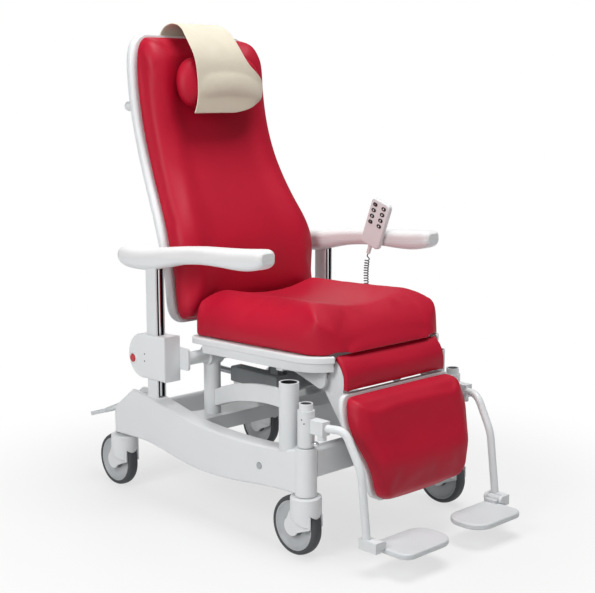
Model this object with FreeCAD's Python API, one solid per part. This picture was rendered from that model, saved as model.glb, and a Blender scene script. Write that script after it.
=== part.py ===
import FreeCAD, Part
import math
import os
from FreeCAD import Vector

# Patient transport chair: a wheeled base carries a tilting seat with a reclining back,
# a rising leg rest, drop-down armrests and swing-away footrests.
# Modelling frame: the chair faces -Y, +X is the patient's left, +Z is up from the floor,
# and Y = 0 is midway between the front and rear swivel axes' wheels.
# Lengths are in millimetres and angles in degrees.

# Origin of the finished part: under the middle of the whole chair
wheelbase_mid_y = 98.08

# Fits
running_gap = 0.05
sliding_gap = 0.4
seat_gap = 0.3
key_gap = 0.3

# Casters
wheel_radius = 75.0
tyre_width = 32.0
tyre_shoulder = 66.0
rim_radius = 58.0
rim_width = 28.0
rim_web = 8.0
hub_radius = 16.0
axle_radius = 6.0
caster_x = 277.0
caster_trail = 31.0
front_swivel_y = -408.0
rear_swivel_y = 345.0
hood_gap = 1.5
hood_wall = 3.0
hood_side_gap = 2.0
hood_side_wall = 4.0
barrel_hood_radius = 39.0
hood_front_hem = 82.0
hood_rear_hem = 112.0
axle_boss_radius = 24.0
stem_radius = 10.0
stem_length = 50.0
swivel_gap = 3.5

# Base rails and legs
rail_outer_x = 300.0
rail_inner_x = 254.0
rail_rear_y = 388.0
rail_corner = 45.0
rail_edge = 7.0
hump_y = 272.0
hump_rise = 146.0
slope_end_y = 364.0
slope_end_rise = 78.0
leg_radius = 27.0
leg_height = 120.0
post_radius = 17.0
post_height = 230.0
post_wall = 3.0
post_plug = 22.0
bolt_y = -264.0
bolt_rise = 46.0
bolt_radius = 9.0
bolt_head = 3.0

# Cross members of the base
rear_beam_front_y = 354.0
rear_beam_foot = 8.0
rear_beam_rise = 66.0
mid_beam_front_y = 4.0
mid_beam_rear_y = 86.0
mid_beam_foot = 64.0
mid_beam_rise = 104.0
mid_gusset = 52.0
front_beam_depth = 34.0
front_beam_foot = 42.0
front_beam_rise = 116.0
beam_edge = 8.0

# Uprights, accessory sockets and the curved braces between them
upright_x = 192.0
upright_radius = 23.0
upright_wall = 4.0
barrel_radius = 27.0
socket_y = -348.0
socket_radius = 25.0
socket_bore = 21.0
socket_height = 168.0
socket_floor = 26.0
brace_thick = 9.0
brace_tall = 46.0
brace_front_rise = 247.0
brace_mid_rise = 230.0
brace_rear_rise = 164.0

# Brake pedals
pedal_pivot_y = 236.0
pedal_pivot_drop = 14.0
pedal_fall = 22.8
pedal_width = 24.0
pedal_slot = 28.0
pedal_hub = 10.0
pedal_pin = 5.0
pedal_thick = 14.0
pedal_press = 8.0
pedal_end_y = 498.0
pedal_pad_length = 78.0
pedal_pad_width = 46.0

# Tilting seat frame; heights from here up follow the tilt axis
tilt_y = 48.0
tilt_rise = 266.0
tilt_tube_radius = 18.0
frame_half_width = 250.0
frame_wall = 18.0
frame_rear_y = 42.0
frame_front_y = -428.0
frame_rear_corner = 38.0
seat_front_corner = 100.0
frame_low = 16.0
frame_high = 38.0
seat_rake = 1.5
spine_inner_x = 116.0
spine_outer_x = 136.0
spine_low = 6.0
spine_high = 36.0
front_bar_y = -285.0
front_bar_depth = 22.0
flange_thick = 6.0
flange_rear_y = 112.0
flange_low = -30.0
flange_high = 30.0

# Seat tray and cushion
tray_half_width = 252.0
tray_rear_y = 82.0
tray_front_y = -432.0
tray_wall = 5.0
tray_high = 55.0
cushion_half_width = 246.0
cushion_rear_y = 70.0
cushion_front_y = -436.0
cushion_high = 172.0
cushion_rear_corner = 26.0
cushion_tuck = 8.0
cushion_belly = 36.0
cushion_shoulder = 78.0
cushion_waterfall = 125.0
cushion_rear_roll = 34.0
dish_depth = 22.0

# Recline hinge and back
recline_dy = 42.0
recline_dz = 14.0
hinge_tube_radius = 14.0
hinge_lug_radius = 20.0
lug_thick = 8.0
lug_inset = 8.0
bracket_gap = 2.0
back_pad_thick = 75.0
back_shell_thick = 28.0
back_shell_margin = 2.0
handle_rise = 650.0
handle_reach = 46.0
handle_half_width = 220.0
handle_radius = 14.0
handle_bend = 30.0

# Headrest pillow and its cover
pillow_half_width = 155.0
pillow_thick = 58.0
pillow_tall = 150.0
pillow_rise = 638.0
pillow_lean = 8.5
pillow_gap = 17.0
pillow_edge = 26.0
cover_half_width = 128.0
cover_shift = 16.0
cover_thick = 3.0
cover_rise = 20.0
cover_behind = 30.0
cover_tail_gap = 39.0

# Leg rest
knee_dy = -423.0
knee_dz = 1.0
knee_shaft_radius = 10.0
flap_radius = 83.0
flap_thick = 17.0
flap_half_width = 187.0
flap_top_angle = 57.0
flap_low_angle = -15.0
knee_clearance = 3.5
knee_bracket_x = 194.0
knee_bracket_thick = 6.0
calf_arm_x = 172.0
calf_arm_thick = 8.0
calf_pad_thick = 55.0
calf_shell_thick = 14.0

# Armrests
column_x = 301.0
column_width = 32.0
column_front_y = 110.0
column_depth = 44.0
column_corner = 5.0
column_foot = -112.0
housing_inner_x = 288.0
housing_outer_x = 342.0
housing_front_y = 66.0
housing_waist_y = 150.0
housing_rear_y = 226.0
housing_low = -60.0
housing_high = 62.0
housing_edge = 6.0
button_y = 203.0
button_dz = -12.0
button_radius = 11.0
button_proud = 4.0
button_depth = 6.0
button_pocket = 14.0
arm_x = 307.0
arm_width = 66.0

# Handset
handset_x = 254.0
handset_thick = 16.0
handset_y = -136.0
handset_rise = 337.0
handset_width = 70.0
handset_tall = 136.0
handset_lean = 20.0
handset_corner = 12.0
handset_edge = 4.0
key_length = 16.0
key_width = 10.0
key_proud = 1.4
key_sunk = 2.6
key_pocket = 4.6
key_spread = 17.0
key_pitch = 17.5
key_first_rise = 52.0
relief_radius = 6.0
relief_length = 24.0
cord_radius = 8.0
cord_end_gap = 0.75
clip_radius = 12.0

# Control box under the seat
box_outer_x = 200.0
box_front_y = -190.0
box_rear_y = -60.0
box_low = -44.0
box_high = 28.0
box_edge = 5.0

# Footrests
sleeve_radius = 21.0
sleeve_gap = 3.0
sleeve_tall = 90.0
hanger_x = 247.0
hanger_radius = 10.0
hanger_block_width = 26.0
hanger_block_rise = 160.0
hanger_block_tall = 34.0
hanger_block_front_y = -470.0
hanger_barrel_radius = 11.0
hanger_barrel_y = -456.0
hanger_barrel_drop = 13.0
knob_radius = 7.0
knob_pin_radius = 3.0
knob_rise = 12.0
knob_stand = 6.0
foot_hinge_x = 231.0
foot_hinge_drop = 82.0
foot_pin_radius = 4.0
foot_knuckle = 10.0
foot_ear = 9.0
foot_front_y = -692.0
foot_rear_y = -573.0
foot_inner_x = 44.0
foot_top = 8.0
foot_thick = 15.0
foot_hinge_front_y = -622.0
foot_hinge_rear_y = -566.0

# Linear actuators
ram_half_width = 21.0
ram_rod_radius = 9.0
ram_edge = 5.0
eye_radius = 16.0
eye_width = 12.0
eye_side_gap = 1.0
pin_radius = 5.0
arm_plate = 8.0
leg_ram_x = 111.0
leg_lever = 45.0
leg_swing = 70.0
leg_ram_rear_y = -75.0
leg_ram_length = 160.0
leg_eye_drop = 4.1
back_ram_x = -129.0
back_lever = 75.0
back_swing = 60.0
back_ram_front_y = -165.0
back_ram_length = 185.0
back_eye_drop = 5.0
rod_engage = 90.0
tilt_foot_y = 45.0
tilt_foot_rise = 18.0
tilt_pin_y = -274.0
tilt_pin_dz = -9.0
tilt_ram_length = 215.0
motor_width = 58.0
motor_depth = 76.0
motor_tall = 66.0
open_pivot_gap = 1.6

# Heights and axes that follow from the sizes above
hood_radius = wheel_radius + hood_gap + hood_wall
deck_z = wheel_radius + hood_radius + swivel_gap
hump_z = deck_z + hump_rise
slope_end_z = deck_z + slope_end_rise
mid_beam_top = deck_z + mid_beam_rise
tilt_z = deck_z + tilt_rise
recline_y = tilt_y + recline_dy
recline_z = tilt_z + recline_dz
knee_y = tilt_y + knee_dy
knee_z = tilt_z + knee_dz
pedal_pivot_z = hump_z - pedal_pivot_drop
handset_z = tilt_z + handset_rise
hanger_block_low = deck_z + hanger_block_rise
hanger_block_high = hanger_block_low + hanger_block_tall
foot_hinge_z = deck_z - foot_hinge_drop
knob_z = deck_z + leg_height + sleeve_gap + knob_rise


def box(x0, x1, y0, y1, z0, z1):
    """Block between two corners."""
    return Part.makeBox(x1 - x0, y1 - y0, z1 - z0, Vector(x0, y0, z0))


def rod_x(y, z, radius, x0, x1):
    """Round bar along X."""
    return Part.makeCylinder(radius, x1 - x0, Vector(x0, y, z), Vector(1, 0, 0))


def rod_y(x, z, radius, y0, y1):
    """Round bar along Y."""
    return Part.makeCylinder(radius, y1 - y0, Vector(x, y0, z), Vector(0, 1, 0))


def rod_z(x, y, radius, z0, z1):
    """Round bar along Z."""
    return Part.makeCylinder(radius, z1 - z0, Vector(x, y, z0), Vector(0, 0, 1))


def fuse(shapes):
    """One solid from shapes that run into each other."""
    return shapes[0].multiFuse(shapes[1:]).removeSplitter()


def mirrored(shape):
    """The same piece on the other side of the chair."""
    return shape.mirror(Vector(0, 0, 0), Vector(1, 0, 0))


def both_sides(shape):
    """A piece and its mirror image, as separate solids."""
    return Part.makeCompound([shape, mirrored(shape)])


def polygon_x(points, x0, x1):
    """Plate whose outline is a polygon of (y, z) points."""
    corners = [Vector(x0, y, z) for y, z in points]
    face = Part.Face(Part.makePolygon(corners + corners[:1]))
    return face.extrude(Vector(x1 - x0, 0, 0))


def curve_through(points):
    """Smooth edge through (y, z) points at X = 0."""
    curve = Part.BSplineCurve()
    curve.interpolate([Vector(0, y, z) for y, z in points])
    return curve.toShape()


def line(start, end):
    """Straight edge between two (y, z) points at X = 0."""
    return Part.makeLine(Vector(0, *start), Vector(0, *end))


def arc(start, middle, end):
    """Round edge through three (y, z) points at X = 0."""
    return Part.Arc(Vector(0, *start), Vector(0, *middle), Vector(0, *end)).toShape()


def plate_x(edges, x0, x1):
    """Plate whose outline is a loop of edges drawn at X = 0."""
    face = Part.Face(Part.Wire(Part.__sortEdges__(edges)))
    face.translate(Vector(x0, 0, 0))
    return face.extrude(Vector(x1 - x0, 0, 0))


def rounded_loop(place, u0, u1, v0, v1, radii):
    """Rounded rectangle; radii go round from (u0, v0) by (u1, v0)."""
    corners = [(u0, v0, 1, 1), (u1, v0, -1, 1), (u1, v1, -1, -1), (u0, v1, 1, -1)]
    half = 1 - math.sqrt(0.5)
    arcs = []
    for index, (u, v, du, dv) in enumerate(corners):
        r = radii[index]
        along_v = (u, v + dv * r)
        along_u = (u + du * r, v)
        middle = (u + du * r * half, v + dv * r * half)
        first, last = (along_v, along_u) if index % 2 == 0 else (along_u, along_v)
        arcs.append((first, middle, last))
    edges = []
    for index, (first, middle, last) in enumerate(arcs):
        edges.append(Part.Arc(place(*first), place(*middle), place(*last)).toShape())
        following = arcs[(index + 1) % 4][0]
        edges.append(Part.makeLine(place(*last), place(*following)))
    return Part.Wire(edges)


def slab(u0, u1, v0, v1, radii, z0, z1):
    """Flat slab with rounded corners in plan."""
    loop = rounded_loop(lambda x, y: Vector(x, y, z0), u0, u1, v0, v1, radii)
    return Part.Face(loop).extrude(Vector(0, 0, z1 - z0))


def seat_slab(half_width, y_front, y_rear, front_corner, rear_corner, z0, z1):
    """Slab with the seat's plan: wide round front corners and tighter rear ones."""
    radii = (front_corner, front_corner, rear_corner, rear_corner)
    return slab(-half_width, half_width, y_front, y_rear, radii, z0, z1)


def raked(shape):
    """Seat pan pieces, laid at the seat's slope about the tilt axis."""
    turned = shape.copy()
    turned.rotate(Vector(0, tilt_y, tilt_z), Vector(1, 0, 0), -seat_rake)
    return turned


def rounded_path(points, radii):
    """Straight runs joined by tangent arcs of the given radii."""
    edges = []
    start = points[0]
    for index, radius in enumerate(radii):
        corner = points[index + 1]
        before = (corner - points[index]).normalize()
        after = (points[index + 2] - corner).normalize()
        half_turn = before.getAngle(after) / 2
        cut = radius * math.tan(half_turn)
        inward = (after - before).normalize()
        first = corner - before * cut
        last = corner + after * cut
        middle = corner + inward * (radius / math.cos(half_turn) - radius)
        edges.append(Part.makeLine(start, first))
        edges.append(Part.Arc(first, middle, last).toShape())
        start = last
    edges.append(Part.makeLine(start, points[-1]))
    return Part.Wire(edges)


def bent_tube(points, radii, tube_radius):
    """Solid round bar along straight runs and tangent arcs."""
    path = rounded_path(points, radii)
    section = Part.Wire(Part.makeCircle(tube_radius, points[0], points[1] - points[0]))
    return path.makePipeShell([section], True, False)


def revolved_x(profile, x, y, z):
    """Solid turned about an axis along X from an (offset, radius) polygon."""
    corners = [Vector(x + offset, y, z + radius) for offset, radius in profile]
    face = Part.Face(Part.makePolygon(corners + corners[:1]))
    return face.revolve(Vector(x, y, z), Vector(1, 0, 0), 360)


def caster_fork(x, swivel_y):
    """Round plastic hood whose cheeks narrow to the axle, with the axle and the steel swivel stem."""
    axle_y = swivel_y + caster_trail
    inner_half = tyre_width / 2 + hood_side_gap
    outer_half = inner_half + hood_side_wall
    hood_top = deck_z - swivel_gap / 2
    front_y, rear_y = swivel_y - barrel_hood_radius, swivel_y + barrel_hood_radius
    barrel = rod_z(x, swivel_y, barrel_hood_radius, wheel_radius, hood_top)
    rims = [e for e in barrel.Edges if len(e.Vertexes) == 1 and e.BoundBox.ZMin > hood_top - 1]
    barrel = barrel.makeFillet(hood_wall, rims)
    under = polygon_x([(front_y - 1, 0), (rear_y + 1, 0), (rear_y + 1, hood_rear_hem), (front_y - 1, hood_front_hem)],
                      x - 2 * barrel_hood_radius, x + 2 * barrel_hood_radius)
    low_z = wheel_radius - axle_boss_radius / 2
    cheeks = polygon_x([(front_y + hood_wall, hood_rear_hem), (front_y + hood_wall, hood_front_hem),
                        (axle_y - axle_boss_radius * 0.87, low_z), (axle_y + axle_boss_radius * 0.87, low_z),
                        (axle_y + axle_boss_radius, wheel_radius), (rear_y - hood_wall, hood_rear_hem + hood_wall)],
                       x - outer_half, x + outer_half)
    boss = rod_x(axle_y, wheel_radius, axle_boss_radius, x - outer_half, x + outer_half)
    well = rod_x(axle_y, wheel_radius, wheel_radius + hood_gap, x - inner_half, x + inner_half)
    hood = fuse([barrel.cut(under), cheeks, boss]).cut(well)
    stem = rod_z(x, swivel_y, stem_radius, hood_top - 2 * swivel_gap, deck_z + stem_length)
    axle = rod_x(axle_y, wheel_radius, axle_radius, x - outer_half, x + outer_half)
    return Part.makeCompound([hood.cut(stem).cut(axle), stem, axle])


def caster_wheel(x, swivel_y):
    """Moulded rim with its bonded tyre."""
    axle_y = swivel_y + caster_trail
    bore = axle_radius + running_gap
    half = rim_width / 2
    web = rim_web / 2
    inner = rim_radius - 8
    profile = [(-half, bore), (half, bore), (half, hub_radius), (web, hub_radius + 3),
               (web, inner - 2), (half - 1, inner), (half, rim_radius), (-half, rim_radius),
               (-half + 1, inner), (-web, inner - 2), (-web, hub_radius + 3), (-half, hub_radius)]
    rim = revolved_x(profile, x, axle_y, wheel_radius)
    bead = rim_radius + running_gap
    side = tyre_width / 2
    place = lambda offset, radius: Vector(x + offset, axle_y, wheel_radius + radius)
    tread = Part.Arc(place(side, tyre_shoulder), place(0, wheel_radius), place(-side, tyre_shoulder))
    edges = [tread.toShape(),
             Part.makeLine(place(-side, tyre_shoulder), place(-half, bead)),
             Part.makeLine(place(-half, bead), place(half, bead)),
             Part.makeLine(place(half, bead), place(side, tyre_shoulder))]
    axis_point = Vector(x, axle_y, wheel_radius)
    tyre = Part.Face(Part.Wire(edges)).revolve(axis_point, Vector(1, 0, 0), 360)
    return Part.makeCompound([rim, tyre])


def pedal_drop(y):
    """Height of the pedal's centre line at y, falling to the rear through the rail's sloping corner."""
    return pedal_pivot_z - math.tan(math.radians(pedal_fall)) * (y - pedal_pivot_y)


def side_rail():
    """Left rail of the base: a deep waved cover beam with the front leg and footrest post."""
    top = curve_through([(front_swivel_y, deck_z + 118), (-330, deck_z + 105), (-230, deck_z + 98),
                         (-60, deck_z + 99), (60, deck_z + 113), (150, deck_z + 132), (210, deck_z + 141), (hump_y, hump_z)])
    low = curve_through([(rail_rear_y, deck_z + 2), (290, deck_z + 6), (200, deck_z + 6), (110, deck_z - 7),
                         (10, deck_z - 20), (-110, deck_z - 21), (-240, deck_z - 8), (front_swivel_y, deck_z + 2)])
    shoulder = (rail_rear_y, slope_end_z - 14)
    edges = [top, line((hump_y, hump_z), (slope_end_y, slope_end_z)),
             line((slope_end_y, slope_end_z), shoulder),
             line(shoulder, (rail_rear_y, deck_z + 2)), low,
             line((front_swivel_y, deck_z + 2), (front_swivel_y, deck_z + 118))]
    beam = plate_x(edges, rail_inner_x, rail_outer_x)
    outer_edges = [e for e in beam.Edges if e.BoundBox.XMin > rail_outer_x - 0.1 and e.BoundBox.YLength > rail_corner]
    beam = beam.makeFillet(rail_edge, outer_edges)
    corner = box(rail_outer_x - rail_corner, rail_outer_x + rail_edge, rail_rear_y - rail_corner,
                 rail_rear_y + rail_edge, 0, 2 * hump_z)
    round_x, round_y = rail_outer_x - rail_corner, rail_rear_y - rail_corner
    beam = beam.cut(corner.cut(rod_z(round_x, round_y, rail_corner, 0, 2 * hump_z)))
    leg = rod_z(caster_x, front_swivel_y, leg_radius, deck_z, deck_z + leg_height)
    post = rod_z(caster_x, front_swivel_y, post_radius, deck_z, deck_z + post_height)
    body = fuse([beam, leg, post])
    slot_x = (rail_inner_x + rail_outer_x) / 2
    sink = math.tan(math.radians(pedal_press))
    depth = pedal_thick / 2 + sliding_gap * 10
    reach = rail_rear_y + depth
    slot = polygon_x([(pedal_pivot_y - pedal_hub - depth, hump_z + depth),
                      (pedal_pivot_y - pedal_hub - depth, pedal_pivot_z - pedal_hub - depth / 2),
                      (pedal_pivot_y, pedal_pivot_z - pedal_hub - depth / 2),
                      (reach, pedal_drop(reach) - depth - sink * 1.4 * (reach - pedal_pivot_y)),
                      (reach, hump_z + depth)], slot_x - pedal_slot / 2, slot_x + pedal_slot / 2)
    pin = rod_x(pedal_pivot_y, pedal_pivot_z, pedal_pin, rail_inner_x, rail_outer_x)
    body = fuse([body.cut(slot), pin])
    stem_bore = stem_radius + running_gap
    for y in (front_swivel_y, rear_swivel_y):
        body = body.cut(rod_z(caster_x, y, stem_bore, deck_z - 2 * swivel_gap, deck_z + stem_length + 1))
    mouth = rod_z(caster_x, front_swivel_y, post_radius - post_wall,
                  deck_z + leg_height + post_plug, deck_z + post_height)
    seat = rod_z(caster_x, socket_y, socket_radius + seat_gap / 3, mid_beam_top, deck_z + socket_height)
    return body.cut(mouth).cut(seat)


def rail_bolt():
    """Domed bolt head on the outside of the rail."""
    z = deck_z + bolt_rise
    shank = rod_x(bolt_y, z, bolt_radius, rail_outer_x, rail_outer_x + bolt_head)
    rims = [e for e in shank.Edges if len(e.Vertexes) == 1 and e.BoundBox.XMin > rail_outer_x + bolt_head / 2]
    return shank.makeFillet(bolt_head / 2, rims)


def crossmembers():
    """Rear, middle and front beams that tie the two rails together."""
    rear = box(-rail_inner_x, rail_inner_x, rear_beam_front_y, rail_rear_y - rail_edge,
               deck_z + rear_beam_foot, deck_z + rear_beam_rise)
    rear = rear.makeFillet(beam_edge, [e for e in rear.Edges if e.BoundBox.XLength > rail_inner_x])
    mid = box(-rail_inner_x, rail_inner_x, mid_beam_front_y, mid_beam_rear_y,
              deck_z + mid_beam_foot, mid_beam_top)
    corner = box(rail_inner_x - mid_gusset, rail_inner_x, mid_beam_rear_y, mid_beam_rear_y + mid_gusset,
                 deck_z + mid_beam_foot, mid_beam_top)
    corner = corner.cut(rod_z(rail_inner_x - mid_gusset, mid_beam_rear_y + mid_gusset, mid_gusset, 0, 2 * hump_z))
    mid = fuse([mid, corner, mirrored(corner)])
    front = box(-rail_inner_x, rail_inner_x, front_swivel_y - front_beam_depth / 2,
                front_swivel_y + front_beam_depth / 2, deck_z + front_beam_foot, deck_z + front_beam_rise)
    front = front.makeFillet(beam_edge, [e for e in front.Edges if e.BoundBox.XLength > rail_inner_x])
    leg = rod_z(caster_x, front_swivel_y, leg_radius + seat_gap / 3, deck_z, deck_z + leg_height)
    return Part.makeCompound([rear, mid, front.cut(leg).cut(mirrored(leg))])


def upright():
    """Left upright: a tube on the middle beam with the bearing barrel of the tilt tube on top."""
    tube = rod_z(upright_x, tilt_y, upright_radius, mid_beam_top, tilt_z)
    hollow = rod_z(upright_x, tilt_y, upright_radius - upright_wall, mid_beam_top, tilt_z - barrel_radius)
    barrel = rod_x(tilt_y, tilt_z, barrel_radius, upright_x - upright_radius, upright_x + upright_radius)
    barrel = barrel.makeFillet(upright_wall / 2, [e for e in barrel.Edges if len(e.Vertexes) == 1])
    bore = rod_x(tilt_y, tilt_z, tilt_tube_radius + running_gap, 0, 2 * upright_x)
    return fuse([tube.cut(hollow), barrel]).cut(bore)


def accessory_socket():
    """Left open-topped tube on the rail for a pole or a bottle holder."""
    tube = rod_z(caster_x, socket_y, socket_radius, mid_beam_top, mid_beam_top + socket_height)
    return tube.cut(rod_z(caster_x, socket_y, socket_bore, mid_beam_top + socket_floor,
                          mid_beam_top + socket_height))


def curved_brace():
    """Left flat bar, arched on edge, from the socket down to the foot of the upright."""
    span_x = upright_x - caster_x
    span_y = tilt_y - socket_y
    span = math.hypot(span_x, span_y)
    front_z = deck_z + brace_front_rise
    mid_z = deck_z + brace_mid_rise
    rear_z = deck_z + brace_rear_rise
    top = arc((0, front_z), (span * 0.45, mid_z), (span, rear_z))
    low = arc((0, front_z - brace_tall), (span * 0.45, mid_z - brace_tall), (span, rear_z - brace_tall))
    ends = [line((0, front_z - brace_tall), (0, front_z)), line((span, rear_z - brace_tall), (span, rear_z))]
    band = plate_x([top, low] + ends, -brace_thick / 2, brace_thick / 2)
    turn = math.degrees(math.atan2(-span_x, span_y))
    band.rotate(Vector(0, 0, 0), Vector(0, 0, 1), turn)
    band.translate(Vector(caster_x, socket_y, 0))
    socket = rod_z(caster_x, socket_y, socket_radius + seat_gap / 3, 0, 2 * tilt_z)
    tube = rod_z(upright_x, tilt_y, upright_radius + seat_gap / 3, 0, 2 * tilt_z)
    return band.cut(socket).cut(tube)


def brake_pedal():
    """Left brake lever: a hub in the rail's slot, a cranked bar and a foot pad behind the wheel."""
    x = (rail_inner_x + rail_outer_x) / 2
    half = pedal_width / 2
    hub = rod_x(pedal_pivot_y, pedal_pivot_z, pedal_hub, x - half, x + half)
    pad_y = pedal_end_y - pedal_pad_length
    up = pedal_thick / 2
    bar = polygon_x([(pedal_pivot_y, pedal_pivot_z + up), (pad_y, pedal_drop(pad_y) + up),
                     (pad_y + up, pedal_drop(pad_y) - up / 3), (pad_y, pedal_drop(pad_y) - up),
                     (pedal_pivot_y, pedal_pivot_z - up)], x - half, x + half)
    pad_half = pedal_pad_width / 2
    pad = slab(x - pad_half, x + pad_half, pad_y - up, pedal_end_y,
               (up, up, pad_half * 0.9, pad_half * 0.9), -up * 0.8, up * 0.8)
    pad.rotate(Vector(0, pad_y, 0), Vector(1, 0, 0), -pedal_fall * 0.8)
    pad.translate(Vector(0, 0, pedal_drop(pad_y)))
    bore = rod_x(pedal_pivot_y, pedal_pivot_z, pedal_pin + running_gap, x - half, x + half)
    return fuse([hub, bar, pad]).cut(bore)


def knee_well():
    """Room that the knee flap sweeps through under the front of the seat."""
    reach = knee_bracket_x - seat_gap * 4
    return rod_x(knee_y, knee_z, flap_radius + knee_clearance, -reach, reach)


def seat_frame():
    """Welded seat frame: rim, two spines, cross bars, tilt tube, hinge lugs and knee brackets."""
    rim = seat_slab(frame_half_width, frame_front_y, frame_rear_y, seat_front_corner, frame_rear_corner,
                    tilt_z + frame_low, tilt_z + frame_high)
    hole = seat_slab(frame_half_width - frame_wall, frame_front_y + frame_wall, frame_rear_y - frame_wall,
                     seat_front_corner - frame_wall, frame_rear_corner - frame_wall, 0, 2 * tilt_z)
    rim = raked(rim.cut(hole))
    side_room = upright_radius + 2 * swivel_gap
    barrel_room = rod_x(tilt_y, tilt_z, barrel_radius + swivel_gap, upright_x - side_room, upright_x + side_room)
    rim = rim.cut(barrel_room).cut(mirrored(barrel_room))
    spine = box(spine_inner_x, spine_outer_x, front_bar_y, frame_rear_y, tilt_z + spine_low, tilt_z + spine_high)
    lug_outer = spine_outer_x - lug_inset / 2
    lug_inner = lug_outer - lug_thick
    lug = rod_x(recline_y, recline_z, hinge_lug_radius, lug_inner, lug_outer)
    web = polygon_x([(frame_rear_y - frame_wall, tilt_z + spine_low), (recline_y, recline_z - hinge_lug_radius),
                     (recline_y, recline_z + hinge_lug_radius), (frame_rear_y - frame_wall, tilt_z + spine_high)],
                    lug_inner, lug_outer)
    bar_half = frame_half_width - frame_wall / 2
    front_bar = box(-bar_half, bar_half, front_bar_y, front_bar_y + front_bar_depth,
                    tilt_z + frame_low, tilt_z + frame_high + 4)
    knee_plate_x = knee_bracket_x + knee_bracket_thick
    knee_top = tilt_z + frame_high
    drop = knee_shaft_radius * 2
    plate = fuse([polygon_x([(front_bar_y + front_bar_depth, tilt_z + frame_low),
                             (front_bar_y + front_bar_depth, knee_top), (knee_y - drop, knee_top),
                             (knee_y - drop, knee_z), (knee_y, knee_z - drop)],
                            knee_bracket_x, knee_plate_x),
                  rod_x(knee_y, knee_z, drop, knee_bracket_x, knee_plate_x)])
    tube = rod_x(tilt_y, tilt_z, tilt_tube_radius, -housing_inner_x + flange_thick, housing_inner_x - flange_thick)
    flange = box(housing_inner_x - flange_thick, housing_inner_x, tilt_y - tilt_tube_radius, flange_rear_y,
                 tilt_z + flange_low, tilt_z + flange_high)
    flange = flange.makeFillet(beam_edge, [e for e in flange.Edges if e.BoundBox.XLength > flange_thick / 2
                                           and e.BoundBox.YLength + e.BoundBox.ZLength < 1])
    ear = fuse([box(eye_width / 2 + eye_side_gap, eye_width / 2 + eye_side_gap + arm_plate,
                    tilt_pin_y - 2 * pin_radius, tilt_pin_y + 2 * pin_radius,
                    tilt_z + tilt_pin_dz, tilt_z + frame_low + 4),
                rod_x(tilt_pin_y, tilt_z + tilt_pin_dz, 2 * pin_radius, eye_width / 2 + eye_side_gap,
                      eye_width / 2 + eye_side_gap + arm_plate)])
    tilt_pin = rod_x(tilt_pin_y, tilt_z + tilt_pin_dz, pin_radius,
                     -eye_width / 2 - eye_side_gap - arm_plate, eye_width / 2 + eye_side_gap + arm_plate)
    pieces = [rim, front_bar, tube, tilt_pin]
    for part in (spine, lug, web, plate, flange, ear):
        pieces += [part, mirrored(part)]
    body = fuse(pieces)
    hinge = rod_x(recline_y, recline_z, hinge_tube_radius + running_gap, -frame_half_width, frame_half_width)
    shaft = rod_x(knee_y, knee_z, knee_shaft_radius + running_gap, -knee_plate_x, knee_plate_x)
    return body.cut(hinge).cut(shaft).cut(knee_well())


def seat_tray():
    """Moulded tray with a turned-down rim that carries the seat cushion."""
    low = tilt_z + frame_high
    high = tilt_z + tray_high
    outer = seat_slab(tray_half_width, tray_front_y, tray_rear_y, seat_front_corner, frame_rear_corner, low, high)
    hollow = seat_slab(tray_half_width - tray_wall * 2, tray_front_y + tray_wall * 2, tray_rear_y - tray_wall * 2,
                       seat_front_corner - tray_wall * 2, frame_rear_corner - tray_wall * 2, 0, high - tray_wall)
    top_edges = [e for e in outer.Edges if e.BoundBox.ZMin > high - 0.1]
    return raked(outer.makeFillet(tray_wall, top_edges).cut(hollow)).cut(knee_well())


def cushion_side(low, high):
    """Side view of the seat cushion: rolled at the rear, falling over the front in one wide round."""
    drop = high - low
    edges = [line((cushion_front_y, low), (cushion_rear_y, low)),
             line((cushion_rear_y, low), (cushion_rear_y, high - cushion_rear_roll)),
             arc((cushion_rear_y, high - cushion_rear_roll),
                 (cushion_rear_y - cushion_rear_roll * 0.3, high - cushion_rear_roll * 0.3),
                 (cushion_rear_y - cushion_rear_roll, high)),
             line((cushion_rear_y - cushion_rear_roll, high), (cushion_front_y + cushion_waterfall, high)),
             arc((cushion_front_y + cushion_waterfall, high),
                 (cushion_front_y + cushion_waterfall * 0.3, high - drop * 0.25),
                 (cushion_front_y, low + drop * 0.33)),
             line((cushion_front_y, low + drop * 0.33), (cushion_front_y, low))]
    return plate_x(edges, -2 * cushion_half_width, 2 * cushion_half_width)


def cushion_section(low, high):
    """Front view of the seat cushion: tucked in at the tray, round shoulders and a dished middle."""
    half = cushion_half_width
    foot, ridge = half - cushion_tuck, half - cushion_shoulder
    knee = (half - cushion_tuck, low + 1.8 * cushion_belly)
    edges = [line((-foot, low), (foot, low)), arc((-ridge, high), (0, high - dish_depth), (ridge, high))]
    for side in (-1, 1):
        edges.append(arc((side * foot, low), (side * half, low + cushion_belly), (side * knee[0], knee[1])))
        edges.append(arc((side * knee[0], knee[1]), (side * (half - cushion_shoulder * 0.38), high - cushion_tuck * 1.7),
                         (side * ridge, high)))
    section = plate_x(edges, 2 * cushion_front_y, 4 * cushion_rear_y)
    section.rotate(Vector(0, 0, 0), Vector(0, 0, 1), 90)
    return section


def seat_cushion():
    """Thick cushion with soft round shoulders, dished for the sitter, cut clear of the knee flap."""
    low = tilt_z + tray_high + seat_gap
    high = tilt_z + cushion_high
    pad = seat_slab(cushion_half_width, cushion_front_y, cushion_rear_y, seat_front_corner,
                    cushion_rear_corner, low, high)
    pad = pad.common(cushion_side(low, high)).common(cushion_section(low, high))
    return raked(pad).cut(knee_well())


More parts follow.
